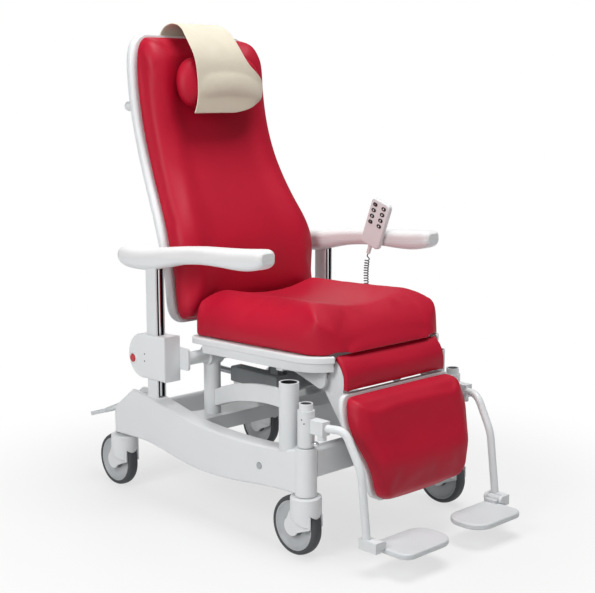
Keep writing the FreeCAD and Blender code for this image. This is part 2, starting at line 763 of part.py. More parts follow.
def back_stations():
    """Height above the recline axis, half width, distance behind it and thickness share of the back."""
    return [(66, 228, 42, 0.45), (88, 250, 46, 0.74), (162, 254, 57, 0.9), (242, 256, 71, 1.0),
            (322, 254, 97, 1.0), (402, 243, 141, 1.0), (482, 233, 184, 1.0), (562, 228, 216, 1.0),
            (682, 227, 243, 1.0), (782, 221, 257, 1.0), (824, 206, 263, 0.85), (847, 174, 266, 0.5)]


def back_depth(rise):
    """Distance of the cushion's rear face behind the recline axis at a height above it."""
    stations = back_stations()
    for low, high in zip(stations, stations[1:]):
        if rise <= high[0]:
            return low[2] + (high[2] - low[2]) * (rise - low[0]) / (high[0] - low[0])
    return stations[-1][2]


def back_loft(front, rear, margin, soft):
    """Solid that follows the back's curve between two distances behind the cushion's rear face."""
    loops = []
    for rise, half_width, behind, share in back_stations():
        depth = (rear - front) * (share if soft else 1)
        y1 = recline_y + behind + rear
        half = half_width + margin
        corner = min(depth * 0.42, 30)
        z = recline_z + rise
        place = lambda x, y, z=z: Vector(x, y, z)
        loops.append(rounded_loop(place, -half, half, y1 - depth, y1, (corner,) * 4))
    return Part.makeLoft(loops, True, False)


def back_shell():
    """Moulded back shell with its hinge tube, brackets and the arm that the back ram pulls."""
    shell = back_loft(2 * seat_gap, 2 * seat_gap + back_shell_thick, back_shell_margin, False)
    inner = spine_outer_x - lug_inset / 2 + bracket_gap
    foot = back_stations()[0]
    foot_y = recline_y + foot[2] + 2 * seat_gap
    foot_z = recline_z + foot[0]
    bracket = polygon_x([(recline_y - hinge_lug_radius * 0.6, recline_z + hinge_lug_radius * 0.7),
                         (foot_y + 3, foot_z + 14), (foot_y + back_shell_thick - 4, foot_z + 14),
                         (foot_y + back_shell_thick, foot_z - 16),
                         (recline_y + hinge_lug_radius * 0.9, recline_z - hinge_lug_radius * 0.4)],
                        inner, inner + lug_thick)
    hub = rod_x(recline_y, recline_z, hinge_lug_radius, inner, inner + lug_thick)
    tube = rod_x(recline_y, recline_z, hinge_tube_radius, -inner - lug_thick, inner + lug_thick)
    pad_room = back_cushion()
    clear_room = pad_room.translated(Vector(0, seat_gap, -seat_gap))
    bracket = bracket.cut(pad_room).cut(clear_room)
    pin_y, pin_z = back_pin()
    plate_x0 = back_ram_x + eye_width / 2 + eye_side_gap
    arm = lever_arm(recline_y, recline_z, pin_y, pin_z, plate_x0, plate_x0 + arm_plate)
    pin = rod_x(pin_y, pin_z, pin_radius, back_ram_x - eye_width / 2 - eye_side_gap, plate_x0 + arm_plate)
    return fuse([shell, bracket, mirrored(bracket), hub, mirrored(hub), tube, arm, pin])


def lever_arm(y0, z0, y1, z1, x0, x1):
    """Flat arm with round ends between two axes."""
    big = pin_radius * 2.2
    small = pin_radius * 1.8
    length = math.hypot(y1 - y0, z1 - z0)
    ny, nz = (z1 - z0) / length, -(y1 - y0) / length
    side = polygon_x([(y0 + ny * big, z0 + nz * big), (y1 + ny * small, z1 + nz * small),
                      (y1 - ny * small, z1 - nz * small), (y0 - ny * big, z0 - nz * big)], x0, x1)
    return fuse([side, rod_x(y0, z0, big, x0, x1), rod_x(y1, z1, small, x0, x1)])


def back_cushion():
    """Tall contoured back cushion in front of the shell."""
    return back_loft(-back_pad_thick, 0, 0, True)


def push_handle(shell):
    """Bent push bar behind the shell, seated on it at both ends."""
    z = recline_z + handle_rise
    y = recline_y + back_depth(handle_rise) + back_shell_thick + handle_reach
    start = Vector(-handle_half_width * 0.9, y - handle_reach * 1.5, z)
    end = Vector(handle_half_width * 0.9, y - handle_reach * 1.5, z)
    corners = [Vector(-handle_half_width, y, z), Vector(handle_half_width, y, z)]
    bar = bent_tube([start] + corners + [end], [handle_bend] * 2, handle_radius)
    return max(bar.cut(shell).Solids, key=lambda solid: solid.BoundBox.YMax)


def pillow_place(shape):
    """Head pieces, leaned back with the upper part of the back cushion."""
    turned = shape.copy()
    turned.rotate(Vector(0, 0, 0), Vector(1, 0, 0), -pillow_lean)
    turned.translate(Vector(0, recline_y - pillow_gap, recline_z + pillow_rise))
    return turned


def headrest_pillow():
    """Plump head pillow that hangs in front of the back cushion."""
    pad = box(-pillow_half_width, pillow_half_width, -pillow_thick, 0, 0, pillow_tall)
    return pad.makeFillet(pillow_edge, pad.Edges)


def against_back(shapes, back):
    """Head pieces, moved back until the pillow lies against the back cushion."""
    placed = [pillow_place(shape) for shape in shapes]
    for approach in range(5):
        room = placed[0].distToShape(back)[0] - seat_gap
        for shape in placed:
            shape.translate(Vector(0, room, 0))
    return placed


def headrest_cover():
    """Cloth cover that wraps the pillow's front and goes over the top of the back."""
    front = -pillow_thick - seat_gap * 2 - cover_thick / 2
    over = back_stations()[-1][0] - pillow_rise + cover_rise
    behind = back_pad_thick + back_shell_thick + pillow_gap + cover_behind
    tail = handle_rise - pillow_rise + 2 * handle_radius + cover_tail_gap
    shoulder = over - (over - tail) * 0.3
    points = [(front, 8), (front, pillow_tall - 12), (front + 24, pillow_tall + 16),
              (pillow_gap, over), (behind - 24, over), (behind, shoulder), (behind - 8, tail)]
    route = [Vector(0, y, z) for y, z in points]
    radii = [18, 30, 26, 20, 40]
    spine = rounded_path(route, radii)
    x0 = cover_shift - cover_half_width
    start = Part.makePolygon([Vector(x0, front - cover_thick / 2, 8), Vector(x0, front + cover_thick / 2, 8),
                              Vector(x0 + 2 * cover_half_width, front + cover_thick / 2, 8),
                              Vector(x0 + 2 * cover_half_width, front - cover_thick / 2, 8),
                              Vector(x0, front - cover_thick / 2, 8)])
    return spine.makePipeShell([start], True, False)


def calf_stations():
    """Drop below the knee axis, half width, distance in front of it and thickness share."""
    return [(298, 112, 126, 0.45), (284, 140, 133, 0.8), (262, 160, 137, 1.0), (225, 171, 138, 1.0),
            (185, 184, 131, 1.0), (145, 199, 115, 1.0), (105, 210, 100, 1.0), (65, 210, 88, 1.0),
            (38, 203, 82, 0.9), (24, 184, 80, 0.5)]


def calf_loft(front, rear, margin, soft):
    """Solid that follows the leg rest's slope between two distances behind the pad's rear face."""
    loops = []
    for drop, half_width, ahead, share in calf_stations():
        depth = (rear - front) * (share if soft else 1)
        y1 = knee_y - ahead + rear
        corner = depth * 0.42
        z = knee_z - drop
        half = half_width + margin
        place = lambda x, y, z=z: Vector(x, y, z)
        loops.append(rounded_loop(place, -half, half, y1 - depth, y1, (corner,) * 4))
    return Part.makeLoft(loops, True, False)


def calf_shell():
    """Leg rest shell with its two arms, the knee shaft and the arm that the leg ram pushes."""
    shell = calf_loft(2 * seat_gap, 2 * seat_gap + calf_shell_thick, 0, False)
    reach = flap_radius - flap_thick - seat_gap
    low = calf_stations()[5]
    sector = [(knee_y, knee_z)]
    for angle in range(int(flap_low_angle) - 22, int(flap_top_angle), 15):
        a = math.radians(angle)
        sector.append((knee_y - reach * math.cos(a), knee_z + reach * math.sin(a)))
    fan = polygon_x(sector, calf_arm_x, calf_arm_x + calf_arm_thick)
    arm = polygon_x([(knee_y + knee_shaft_radius * 1.6, knee_z), (knee_y - knee_shaft_radius, knee_z + knee_shaft_radius),
                     (knee_y - reach, knee_z - reach * 0.4), (knee_y - low[2] + 8, knee_z - low[0]),
                     (knee_y - low[2] + calf_shell_thick + 16, knee_z - low[0]),
                     (knee_y + knee_shaft_radius * 1.6, knee_z - knee_shaft_radius)],
                    calf_arm_x, calf_arm_x + calf_arm_thick)
    hub = rod_x(knee_y, knee_z, knee_shaft_radius * 1.6, calf_arm_x, calf_arm_x + calf_arm_thick)
    shaft_end = knee_bracket_x + knee_bracket_thick
    shaft = rod_x(knee_y, knee_z, knee_shaft_radius, -shaft_end, shaft_end)
    pin_y, pin_z = leg_pin()
    plate_x1 = leg_ram_x - ram_rod_radius - eye_side_gap
    lever = lever_arm(knee_y, knee_z, pin_y, pin_z, plate_x1 - arm_plate, plate_x1)
    pin = rod_x(pin_y, pin_z, pin_radius, plate_x1 - arm_plate, leg_ram_x + eye_width / 2 + eye_side_gap)
    side = fuse([fan, arm, hub]).cut(calf_pad())
    return fuse([shell, side, mirrored(side), shaft, lever, pin])


def calf_pad():
    """Broad calf cushion that narrows towards the feet."""
    return calf_loft(-calf_pad_thick, 0, 0, True)


def knee_flap():
    """Curved pad over the knee joint, concentric with its axis."""
    inner = flap_radius - flap_thick
    place = lambda radius, angle: (knee_y - radius * math.cos(math.radians(angle)),
                                   knee_z + radius * math.sin(math.radians(angle)))
    mid = (flap_top_angle + flap_low_angle) / 2
    edges = [arc(place(flap_radius, flap_low_angle), place(flap_radius, mid), place(flap_radius, flap_top_angle)),
             arc(place(inner, flap_low_angle), place(inner, mid), place(inner, flap_top_angle)),
             line(place(inner, flap_low_angle), place(flap_radius, flap_low_angle)),
             line(place(inner, flap_top_angle), place(flap_radius, flap_top_angle))]
    return plate_x(edges, -flap_half_width, flap_half_width)


def arm_stations():
    """Distance behind the column's front, centre height above the tilt axis, half height and width share."""
    return [(178, 262, 10, 0.55), (160, 262, 22, 0.85), (110, 260, 29, 1.0), (20, 265, 29, 1.02),
            (-80, 281, 24, 0.96), (-160, 290, 22, 0.94), (-260, 294, 23, 0.97), (-340, 296, 26, 1.0),
            (-388, 301, 25, 0.97), (-408, 304, 21, 0.86), (-418, 305, 13, 0.6)]


def armrest_body():
    """Whole left armrest, thick at the column, waisted, with a rounded front grip."""
    loops = []
    for behind, rise, half_height, share in arm_stations():
        y = column_front_y + behind
        z = tilt_z + rise
        half = arm_width / 2 * share
        corner = min(half, half_height) * 0.7
        place = lambda x, up, y=y: Vector(x, y, up)
        loops.append(rounded_loop(place, arm_x - half, arm_x + half, z - half_height, z + half_height, (corner,) * 4))
    return Part.makeLoft(loops, True, False)


def armrest_pad_room():
    """Everything above the armrest's seam line."""
    rear = column_front_y + arm_stations()[0][0] + 60
    front = column_front_y + arm_stations()[-1][0] - 60
    rise = tilt_z + 266
    return polygon_x([(rear, rise - 14), (front, rise + 42), (front, rise + 300), (rear, rise + 300)],
                     arm_x - arm_width, arm_x + arm_width)


def armrest_column(shell):
    """Left chromed column that slides in the housing and carries the armrest."""
    radii = (column_corner,) * 4
    bar = slab(column_x, column_x + column_width, column_front_y, column_front_y + column_depth, radii,
               tilt_z + column_foot, tilt_z + 262)
    return min(bar.cut(shell).Solids, key=lambda solid: solid.BoundBox.ZMin)


def column_housing():
    """Left guide housing: straight front, round rear with the release button's pocket."""
    low, high = tilt_z + housing_low, tilt_z + housing_high
    middle = (low + high) / 2
    edges = [line((housing_front_y, low), (housing_front_y, high)),
             line((housing_front_y, high), (housing_waist_y, high - 4)),
             arc((housing_waist_y, high - 4), (housing_rear_y, middle - 6), (housing_waist_y, low)),
             line((housing_waist_y, low), (housing_front_y, low))]
    shell = plate_x(edges, housing_inner_x, housing_outer_x)
    shell = shell.makeFillet(housing_edge, [e for e in shell.Edges if e.BoundBox.XMin > housing_outer_x - 0.1])
    gap = sliding_gap
    radii = (column_corner,) * 4
    guide = slab(column_x - gap, column_x + column_width + gap, column_front_y - gap,
                 column_front_y + column_depth + gap, radii, 0, 2 * tilt_z)
    pocket = rod_x(button_y, tilt_z + button_dz, button_radius + key_gap, housing_outer_x - button_pocket,
                   housing_outer_x)
    return shell.cut(guide).cut(pocket)


def release_button():
    """Left push button that frees the column."""
    button = rod_x(button_y, tilt_z + button_dz, button_radius, housing_outer_x - button_depth,
                   housing_outer_x + button_proud)
    rims = [e for e in button.Edges if len(e.Vertexes) == 1 and e.BoundBox.XMin > housing_outer_x]
    return button.makeFillet(button_proud / 2, rims)


def handset_place(shape):
    """Handset pieces, leaned forward on the inside of the left armrest."""
    turned = shape.copy()
    turned.rotate(Vector(0, 0, 0), Vector(1, 0, 0), handset_lean)
    turned.translate(Vector(0, handset_y, handset_z))
    return turned


def stadium_x(y, z, length, width, x0, x1):
    """Oval plate along X with round ends in Y."""
    half = length / 2 - width / 2
    return fuse([box(x0, x1, y - half, y + half, z - width / 2, z + width / 2),
                 rod_x(y - half, z, width / 2, x0, x1), rod_x(y + half, z, width / 2, x0, x1)])


def key_places():
    """Centres of the handset's keys, two columns of four."""
    places = []
    for row in range(4):
        for side in (-1, 1):
            places.append((side * key_spread, key_first_rise - row * key_pitch))
    return places


def handset_case(pad):
    """Slim handset case with key pockets, cord relief and the clip that holds it on the armrest."""
    half_width, half_tall = handset_width / 2, handset_tall / 2
    place = lambda y, z: Vector(handset_x, y, z)
    waist = rounded_loop(place, -half_width, half_width, -half_tall, half_tall, (handset_corner,) * 4)
    case = Part.Face(waist).extrude(Vector(handset_thick, 0, 0))
    case = case.makeFillet(handset_edge, [e for e in case.Edges if e.BoundBox.XLength < 0.1])
    for y, z in key_places():
        pocket = stadium_x(y, z, key_length + 2 * key_gap, key_width + 2 * key_gap, handset_x - 1,
                           handset_x + key_pocket)
        case = case.cut(pocket)
    relief = rod_z(handset_x + handset_thick / 2, 0, relief_radius, -half_tall - relief_length, -half_tall + 2)
    body = handset_place(fuse([case, relief]))
    clip = rod_x(handset_y, handset_z - handset_tall / 4, clip_radius, handset_x + handset_thick - 2, arm_x)
    clip = min(clip.cut(pad).Solids, key=lambda solid: solid.BoundBox.XMin)
    return fuse([body, clip])


def handset_key(y, z):
    """Oval key, proud of the case by its travel and a little more."""
    key = stadium_x(y, z, key_length, key_width, handset_x - key_proud, handset_x + key_sunk)
    return handset_place(key)


def cord_route():
    """Route of the curly handset cord, from the relief round the seat's edge to the control box."""
    reach = handset_tall / 2 + relief_length + cord_end_gap
    lean = math.radians(handset_lean)
    start = Vector(handset_x + handset_thick / 2, handset_y + reach * math.sin(lean),
                   handset_z - reach * math.cos(lean))
    ways = [(264.5, -95.5, 217), (269, -90, 179), (275.5, -87.5, 140), (282, -86.5, 101), (286, -87, 64),
            (283, -88.5, 31), (271, -90.5, 3), (250, -92.5, -17), (225, -94.5, -25.5), (box_outer_x + cord_end_gap, -95, -27)]
    return [start] + [Vector(x, y, tilt_z + rise) for x, y, rise in ways]


def cord_radii(points):
    """Arc radius at each inner point of a cord's route."""
    radii = []
    for before, corner, after in zip(points, points[1:], points[2:]):
        run_in, run_out = corner - before, after - corner
        half_turn = run_in.getAngle(run_out) / 2
        radii.append(0.45 * min(run_in.Length, run_out.Length) / math.tan(half_turn))
    return radii


def handset_cord():
    """Curly cord as one tube of its outer diameter."""
    points = cord_route()
    radii = cord_radii(points)
    print("handset cord bend radii:", [round(r) for r in radii])
    print("handset cord length:", round(rounded_path(points, radii).Length, 1))
    return bent_tube(points, radii, cord_radius)


def control_box():
    """Control box of the actuators, fixed to the left spine under the seat."""
    case = box(spine_outer_x, box_outer_x, box_front_y, box_rear_y, tilt_z + box_low, tilt_z + box_high)
    return case.makeFillet(box_edge, [e for e in case.Edges if e.BoundBox.XMin > spine_outer_x + 1
                                      or e.BoundBox.XLength > 1])


def hanger():
    """Left footrest hanger: sleeve on the leg post, clamp block, bent tube and footplate hinge."""
    low = deck_z + leg_height + sleeve_gap
    sleeve = rod_z(caster_x, front_swivel_y, sleeve_radius, low, low + sleeve_tall)
    half = hanger_block_width / 2
    block_x = caster_x - half / 2
    block = box(block_x - half, block_x + half, hanger_block_front_y, front_swivel_y,
                hanger_block_low, hanger_block_high)
    barrel = rod_z(block_x, hanger_barrel_y, hanger_barrel_radius, hanger_block_low - hanger_barrel_drop,
                   hanger_block_high)
    mid_z = (hanger_block_low + hanger_block_high) / 2
    foot_y = (foot_hinge_front_y + foot_hinge_rear_y) / 2 + 10
    tube = bent_tube([Vector(block_x, hanger_barrel_y, mid_z), Vector(hanger_x + 4, -514, mid_z),
                      Vector(hanger_x, -563, deck_z + 87), Vector(hanger_x, foot_y, foot_hinge_z)],
                     [36, 110], hanger_radius)
    ears = []
    for y0 in (foot_hinge_front_y, foot_hinge_rear_y - foot_ear):
        ears.append(box(foot_hinge_x, hanger_x + hanger_radius, y0, y0 + foot_ear,
                        foot_hinge_z - foot_knuckle, foot_hinge_z + foot_knuckle))
        ears.append(rod_y(foot_hinge_x, foot_hinge_z, foot_knuckle, y0, y0 + foot_ear))
    plinth = box(hanger_x - hanger_radius + 2, hanger_x + hanger_radius, foot_hinge_front_y, foot_hinge_rear_y,
                 foot_hinge_z - foot_knuckle * 1.6, foot_hinge_z + foot_knuckle)
    pin = rod_y(foot_hinge_x, foot_hinge_z, foot_pin_radius, foot_hinge_front_y, foot_hinge_rear_y)
    knuckle_room = rod_y(foot_hinge_x, foot_hinge_z, foot_knuckle + sliding_gap, foot_hinge_front_y + foot_ear,
                         foot_hinge_rear_y - foot_ear)
    body = fuse([fuse([sleeve, block, barrel, tube, plinth]).cut(knuckle_room), pin] + ears)
    bore = rod_z(caster_x, front_swivel_y, post_radius + running_gap, 0, 2 * tilt_z)
    knob_hole = rod_y(caster_x, knob_z, knob_pin_radius + running_gap, front_swivel_y - sleeve_radius,
                      front_swivel_y)
    return body.cut(bore).cut(knob_hole)


def hanger_knob():
    """Left ball knob on the sprung pin that locks the footrest's swing."""
    face_y = front_swivel_y - sleeve_radius
    ball_y = face_y - knob_stand - knob_radius
    ball = Part.makeSphere(knob_radius, Vector(caster_x, ball_y, knob_z))
    pin = rod_y(caster_x, knob_z, knob_pin_radius, ball_y, front_swivel_y - post_radius - 1)
    return fuse([ball, pin])


def footplate():
    """Left footplate: a shallow moulded plate with a hinge knuckle that flips up inwards."""
    top = foot_hinge_z - foot_top
    gap = sliding_gap
    y0 = foot_hinge_front_y + foot_ear + gap
    y1 = foot_hinge_rear_y - foot_ear - gap
    plate = slab(foot_inner_x, foot_hinge_x - foot_knuckle / 2, foot_front_y, foot_rear_y, (50, 30, 24, 50),
                 top - foot_thick, top)
    plate = plate.makeFillet(foot_thick * 0.3, [e for e in plate.Edges if e.BoundBox.ZLength < 0.1])
    plate = plate.cut(rod_y(foot_hinge_x, foot_hinge_z, foot_knuckle + 2 * gap, foot_front_y, foot_hinge_rear_y))
    knuckle = rod_y(foot_hinge_x, foot_hinge_z, foot_knuckle, y0, y1)
    web = box(foot_hinge_x - foot_knuckle * 2, foot_hinge_x, y0, y1, top - foot_thick / 2, foot_hinge_z)
    bore = rod_y(foot_hinge_x, foot_hinge_z, foot_pin_radius + running_gap, y0, y1)
    body = fuse([plate, knuckle, web]).cut(bore)
    return body


def ram_housing(y0, y1, x, z, bore_y0, bore_y1):
    """Actuator housing along Y with the bore that its rod runs in."""
    half = ram_half_width
    case = box(x - half, x + half, y0, y1, z - half, z + half)
    case = case.makeFillet(ram_edge, [e for e in case.Edges if e.BoundBox.YLength > 1])
    return case.cut(rod_y(x, z, ram_rod_radius + running_gap, bore_y0, bore_y1))


def leg_pin():
    """Place of the leg rest's lever pin at rest."""
    half_swing = math.radians(leg_swing / 2)
    return knee_y + leg_lever * math.sin(half_swing), knee_z - leg_lever * math.cos(half_swing)


def back_pin():
    """Place of the back's lever pin at rest."""
    half_swing = math.radians(back_swing / 2)
    return recline_y + back_lever * math.sin(half_swing), recline_z - back_lever * math.cos(half_swing)


def slotted_eye(x, y, z, reach):
    """Rod eye whose hole leaves the lever pin room to rise and fall."""
    ring = rod_x(y, z, eye_radius, x - eye_width / 2, x + eye_width / 2)
    hole = rod_x(y, z, pin_radius + reach + open_pivot_gap, x - eye_width / 2, x + eye_width / 2)
    return ring.cut(hole)


def leg_actuator():
    """Leg rest actuator under the seat, with its gear motor."""
    z = leg_pin()[1] - leg_eye_drop
    y1 = leg_ram_rear_y
    y0 = y1 - leg_ram_length
    case = ram_housing(y0, y1, leg_ram_x, z, y0, y1 - ram_half_width)
    strap = box(spine_inner_x, spine_outer_x, y1 - 40, y1 - 10, z, tilt_z + spine_low)
    motor = box(leg_ram_x - motor_width - ram_half_width + 2, leg_ram_x - ram_half_width + 2,
                y1 - motor_depth, y1, z - motor_tall / 2, z + motor_tall / 3)
    motor = motor.makeFillet(ram_edge * 2, [e for e in motor.Edges if e.BoundBox.XLength > 1])
    return fuse([case, strap, motor])


def leg_rod():
    """Leg rest push rod with its slotted eye."""
    pin_y, pin_z = leg_pin()
    z = pin_z - leg_eye_drop
    face = leg_ram_rear_y - leg_ram_length
    hole = pin_radius + leg_eye_drop + open_pivot_gap
    rod = rod_y(leg_ram_x, z, ram_rod_radius, pin_y + hole, face + rod_engage)
    return fuse([rod, slotted_eye(leg_ram_x, pin_y, z, leg_eye_drop)])


def back_actuator():
    """Back actuator under the seat, with its gear motor."""
    z = back_pin()[1] - back_eye_drop
    y0 = back_ram_front_y
    y1 = y0 + back_ram_length
    case = ram_housing(y0, y1, back_ram_x, z, y0 + ram_half_width, y1)
    strap = box(-spine_outer_x, -spine_inner_x, y0 + 10, y0 + 40, z, tilt_z + spine_low)
    motor = box(back_ram_x + ram_half_width - 2, back_ram_x + ram_half_width - 2 + motor_width,
                y0, y0 + motor_depth, z - motor_tall / 3, z + motor_tall / 2)
    motor = motor.makeFillet(ram_edge * 2, [e for e in motor.Edges if e.BoundBox.XLength > 1])
    return fuse([case, strap, motor])


def back_rod():
    """Back pull rod with its slotted eye."""
    pin_y, pin_z = back_pin()
    z = pin_z - back_eye_drop
    face = back_ram_front_y + back_ram_length
    hole = pin_radius + back_eye_drop + open_pivot_gap
    travel = 2 * back_lever * math.sin(math.radians(back_swing / 2))
    rod = rod_y(back_ram_x, z, ram_rod_radius, face - rod_engage + travel / 2, pin_y - hole)
    return fuse([rod, slotted_eye(back_ram_x, pin_y, z, back_eye_drop)])


def tilt_line():
    """Foot and head of the tilt actuator's line, and its rise from the horizontal."""
    foot = (tilt_foot_y, mid_beam_top + tilt_foot_rise)
    head = (tilt_pin_y, tilt_z + tilt_pin_dz)
    rise = math.degrees(math.atan2(head[1] - foot[1], foot[0] - head[0]))
    return foot, head, rise


def along_tilt_line(shape):
    """A piece drawn forward along -Y from the tilt foot, turned up to the seat."""
    foot, head, rise = tilt_line()
    turned = shape.copy()
    turned.rotate(Vector(0, 0, 0), Vector(1, 0, 0), -rise)
    turned.translate(Vector(0, *foot))
    return turned


def tilt_bracket():
    """Clevis on the middle beam that carries the foot of the tilt actuator."""
    foot, head, rise = tilt_line()
    inner = eye_width / 2 + eye_side_gap
    ear = fuse([box(inner, inner + arm_plate, foot[0] - eye_radius, foot[0] + eye_radius, mid_beam_top, foot[1]),
                rod_x(foot[0], foot[1], eye_radius, inner, inner + arm_plate)])
    pin = rod_x(foot[0], foot[1], pin_radius, -inner - arm_plate, inner + arm_plate)
    return fuse([ear, mirrored(ear), pin])


def tilt_actuator():
    """Tilt actuator on the middle beam: housing, gear motor and foot eye."""
    half = ram_half_width
    near = eye_radius + 12
    case = ram_housing(-tilt_ram_length, -near, 0, 0, -tilt_ram_length, -near - half)
    neck = box(-eye_width / 2, eye_width / 2, -near - 4, 0, -eye_radius / 2, eye_radius / 2)
    eye = rod_x(0, 0, eye_radius * 0.8, -eye_width / 2, eye_width / 2)
    motor = box(-half, half, -near - motor_depth, -near, 0, half + motor_tall / 2)
    motor = motor.makeFillet(ram_edge, [e for e in motor.Edges if e.BoundBox.YLength > 1])
    body = fuse([case, neck, eye, motor])
    bore = rod_x(0, 0, pin_radius + running_gap, -eye_width, eye_width)
    return along_tilt_line(body.cut(bore))


def tilt_rod():
    """Tilt push rod with the eye on the seat frame's pin."""
    foot, head, rise = tilt_line()
    length = math.hypot(head[0] - foot[0], head[1] - foot[1])
    hole = pin_radius + open_pivot_gap
    neck = -length + 4 * pin_radius
    rod = rod_y(0, 0, ram_rod_radius, neck, -tilt_ram_length + rod_engage)
    blade = box(-eye_width / 2, eye_width / 2, -length + hole, neck + ram_rod_radius, -pin_radius, pin_radius)
    ring = rod_x(-length, 0, eye_radius * 0.85, -eye_width / 2, eye_width / 2)
    body = fuse([rod, blade, ring]).cut(rod_x(-length, 0, hole, -eye_width, eye_width))
    return along_tilt_line(body)


def all_nodes():
    """Every sub-part by its node name."""
    nodes = {}
    rail = side_rail()
    nodes["side_rail_left"] = rail
    nodes["side_rail_right"] = mirrored(rail)
    nodes["crossmembers"] = Part.makeCompound(crossmembers().Solids + [tilt_bracket()])
    nodes["uprights"] = both_sides(upright())
    nodes["accessory_sockets"] = both_sides(accessory_socket())
    nodes["curved_braces"] = both_sides(curved_brace())
    nodes["rail_bolts"] = both_sides(rail_bolt())
    pedal = brake_pedal()
    nodes["brake_pedal_left"] = pedal
    nodes["brake_pedal_right"] = mirrored(pedal)
    for end, swivel_y in (("front", front_swivel_y), ("rear", rear_swivel_y)):
        for side, x in (("left", caster_x), ("right", -caster_x)):
            nodes[f"caster_fork_{end}_{side}"] = caster_fork(x, swivel_y)
            nodes[f"caster_wheel_{end}_{side}"] = caster_wheel(x, swivel_y)
    nodes["seat_frame"] = seat_frame()
    nodes["seat_tray"] = seat_tray()
    nodes["seat_cushion"] = seat_cushion()
    nodes["column_housings"] = both_sides(column_housing())
    nodes["control_box"] = control_box()
    button = release_button()
    nodes["release_button_left"] = button
    nodes["release_button_right"] = mirrored(button)
    armrest = armrest_body()
    pad = armrest.common(armrest_pad_room())
    shell = armrest.cut(armrest_pad_room())
    column = armrest_column(shell)
    for side, turn in (("left", lambda shape: shape), ("right", mirrored)):
        nodes[f"armrest_pad_{side}"] = turn(pad)
        nodes[f"armrest_shell_{side}"] = turn(shell)
        nodes[f"armrest_column_{side}"] = turn(column)
    nodes["handset_case"] = handset_case(armrest)
    names = ("back_up", "back_down", "legs_up", "legs_down", "tilt_up", "tilt_down", "flat", "upright")
    for name, (y, z) in zip(names, key_places()):
        nodes[f"key_{name}"] = handset_key(y, z)
    nodes["handset_cord"] = handset_cord()
    back = back_shell()
    nodes["back_shell"] = back
    cushion = back_cushion()
    nodes["back_cushion"] = cushion
    nodes["push_handle"] = push_handle(back)
    pillow, cover = against_back([headrest_pillow(), headrest_cover()], cushion)
    nodes["headrest_pillow"] = pillow
    nodes["headrest_cover"] = cover
    nodes["calf_shell"] = calf_shell()
    nodes["calf_pad"] = calf_pad()
    nodes["knee_flap"] = knee_flap()
    foot, arm, knob = footplate(), hanger(), hanger_knob()
    for side, turn in (("left", lambda shape: shape), ("right", mirrored)):
        nodes[f"hanger_{side}"] = turn(arm)
        nodes[f"hanger_knob_{side}"] = turn(knob)
        nodes[f"footplate_{side}"] = turn(foot)
    nodes["tilt_actuator"] = tilt_actuator()
    nodes["tilt_rod"] = tilt_rod()
    nodes["back_actuator"] = back_actuator()
    nodes["back_rod"] = back_rod()
    nodes["leg_actuator"] = leg_actuator()
    nodes["leg_rod"] = leg_rod()
    return nodes


os.makedirs("parts", exist_ok=True)
for node, shape in all_nodes().items():
    placed = shape.copy()
    placed.translate(Vector(0, wheelbase_mid_y, 0))
    print(node, "solids", len(placed.Solids), "valid", placed.isValid(), "volume", round(placed.Volume / 1000, 1))
    placed.exportStep(f"parts/{node}.step")
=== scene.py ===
import math

import bmesh
import bpy
from mathutils import Matrix, Vector
from mathutils.bvhtree import BVHTree


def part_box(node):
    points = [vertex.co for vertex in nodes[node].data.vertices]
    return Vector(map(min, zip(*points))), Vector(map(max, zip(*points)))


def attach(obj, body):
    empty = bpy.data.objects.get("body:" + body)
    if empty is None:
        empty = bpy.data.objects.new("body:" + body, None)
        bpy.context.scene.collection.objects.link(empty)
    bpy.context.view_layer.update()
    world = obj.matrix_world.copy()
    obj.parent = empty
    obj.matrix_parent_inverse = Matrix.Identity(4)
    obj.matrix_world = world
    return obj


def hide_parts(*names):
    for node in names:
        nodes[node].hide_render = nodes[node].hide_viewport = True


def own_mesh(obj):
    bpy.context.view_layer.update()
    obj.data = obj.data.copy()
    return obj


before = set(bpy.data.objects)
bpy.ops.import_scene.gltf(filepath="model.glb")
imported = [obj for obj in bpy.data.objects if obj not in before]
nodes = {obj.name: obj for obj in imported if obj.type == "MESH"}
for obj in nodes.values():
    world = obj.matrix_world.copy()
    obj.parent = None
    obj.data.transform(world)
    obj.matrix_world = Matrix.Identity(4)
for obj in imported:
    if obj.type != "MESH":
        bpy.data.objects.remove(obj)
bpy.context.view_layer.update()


# Side rails
# Deep waved cover beams, one each side, with the front leg and the footrest post in one piece.
# They are moulded in white ABS and bolted over the cross beams.
def linear(hex_colour):
    """Linear colour of an sRGB hex value."""
    channels = [int(hex_colour[i:i + 2], 16) / 255 for i in (1, 3, 5)]
    return [c / 12.92 if c <= 0.04045 else ((c + 0.055) / 1.055) ** 2.4 for c in channels] + [1.0]


def add(tree, kind, values=None, links=None, **settings):
    """One node with its settings, its input values and its incoming links."""
    node = tree.nodes.new(kind)
    for name, value in settings.items():
        setattr(node, name, value)
    for name, value in (values or {}).items():
        node.inputs[name].default_value = value
    for name, socket in (links or {}).items():
        tree.links.new(socket, node.inputs[name])
    return node


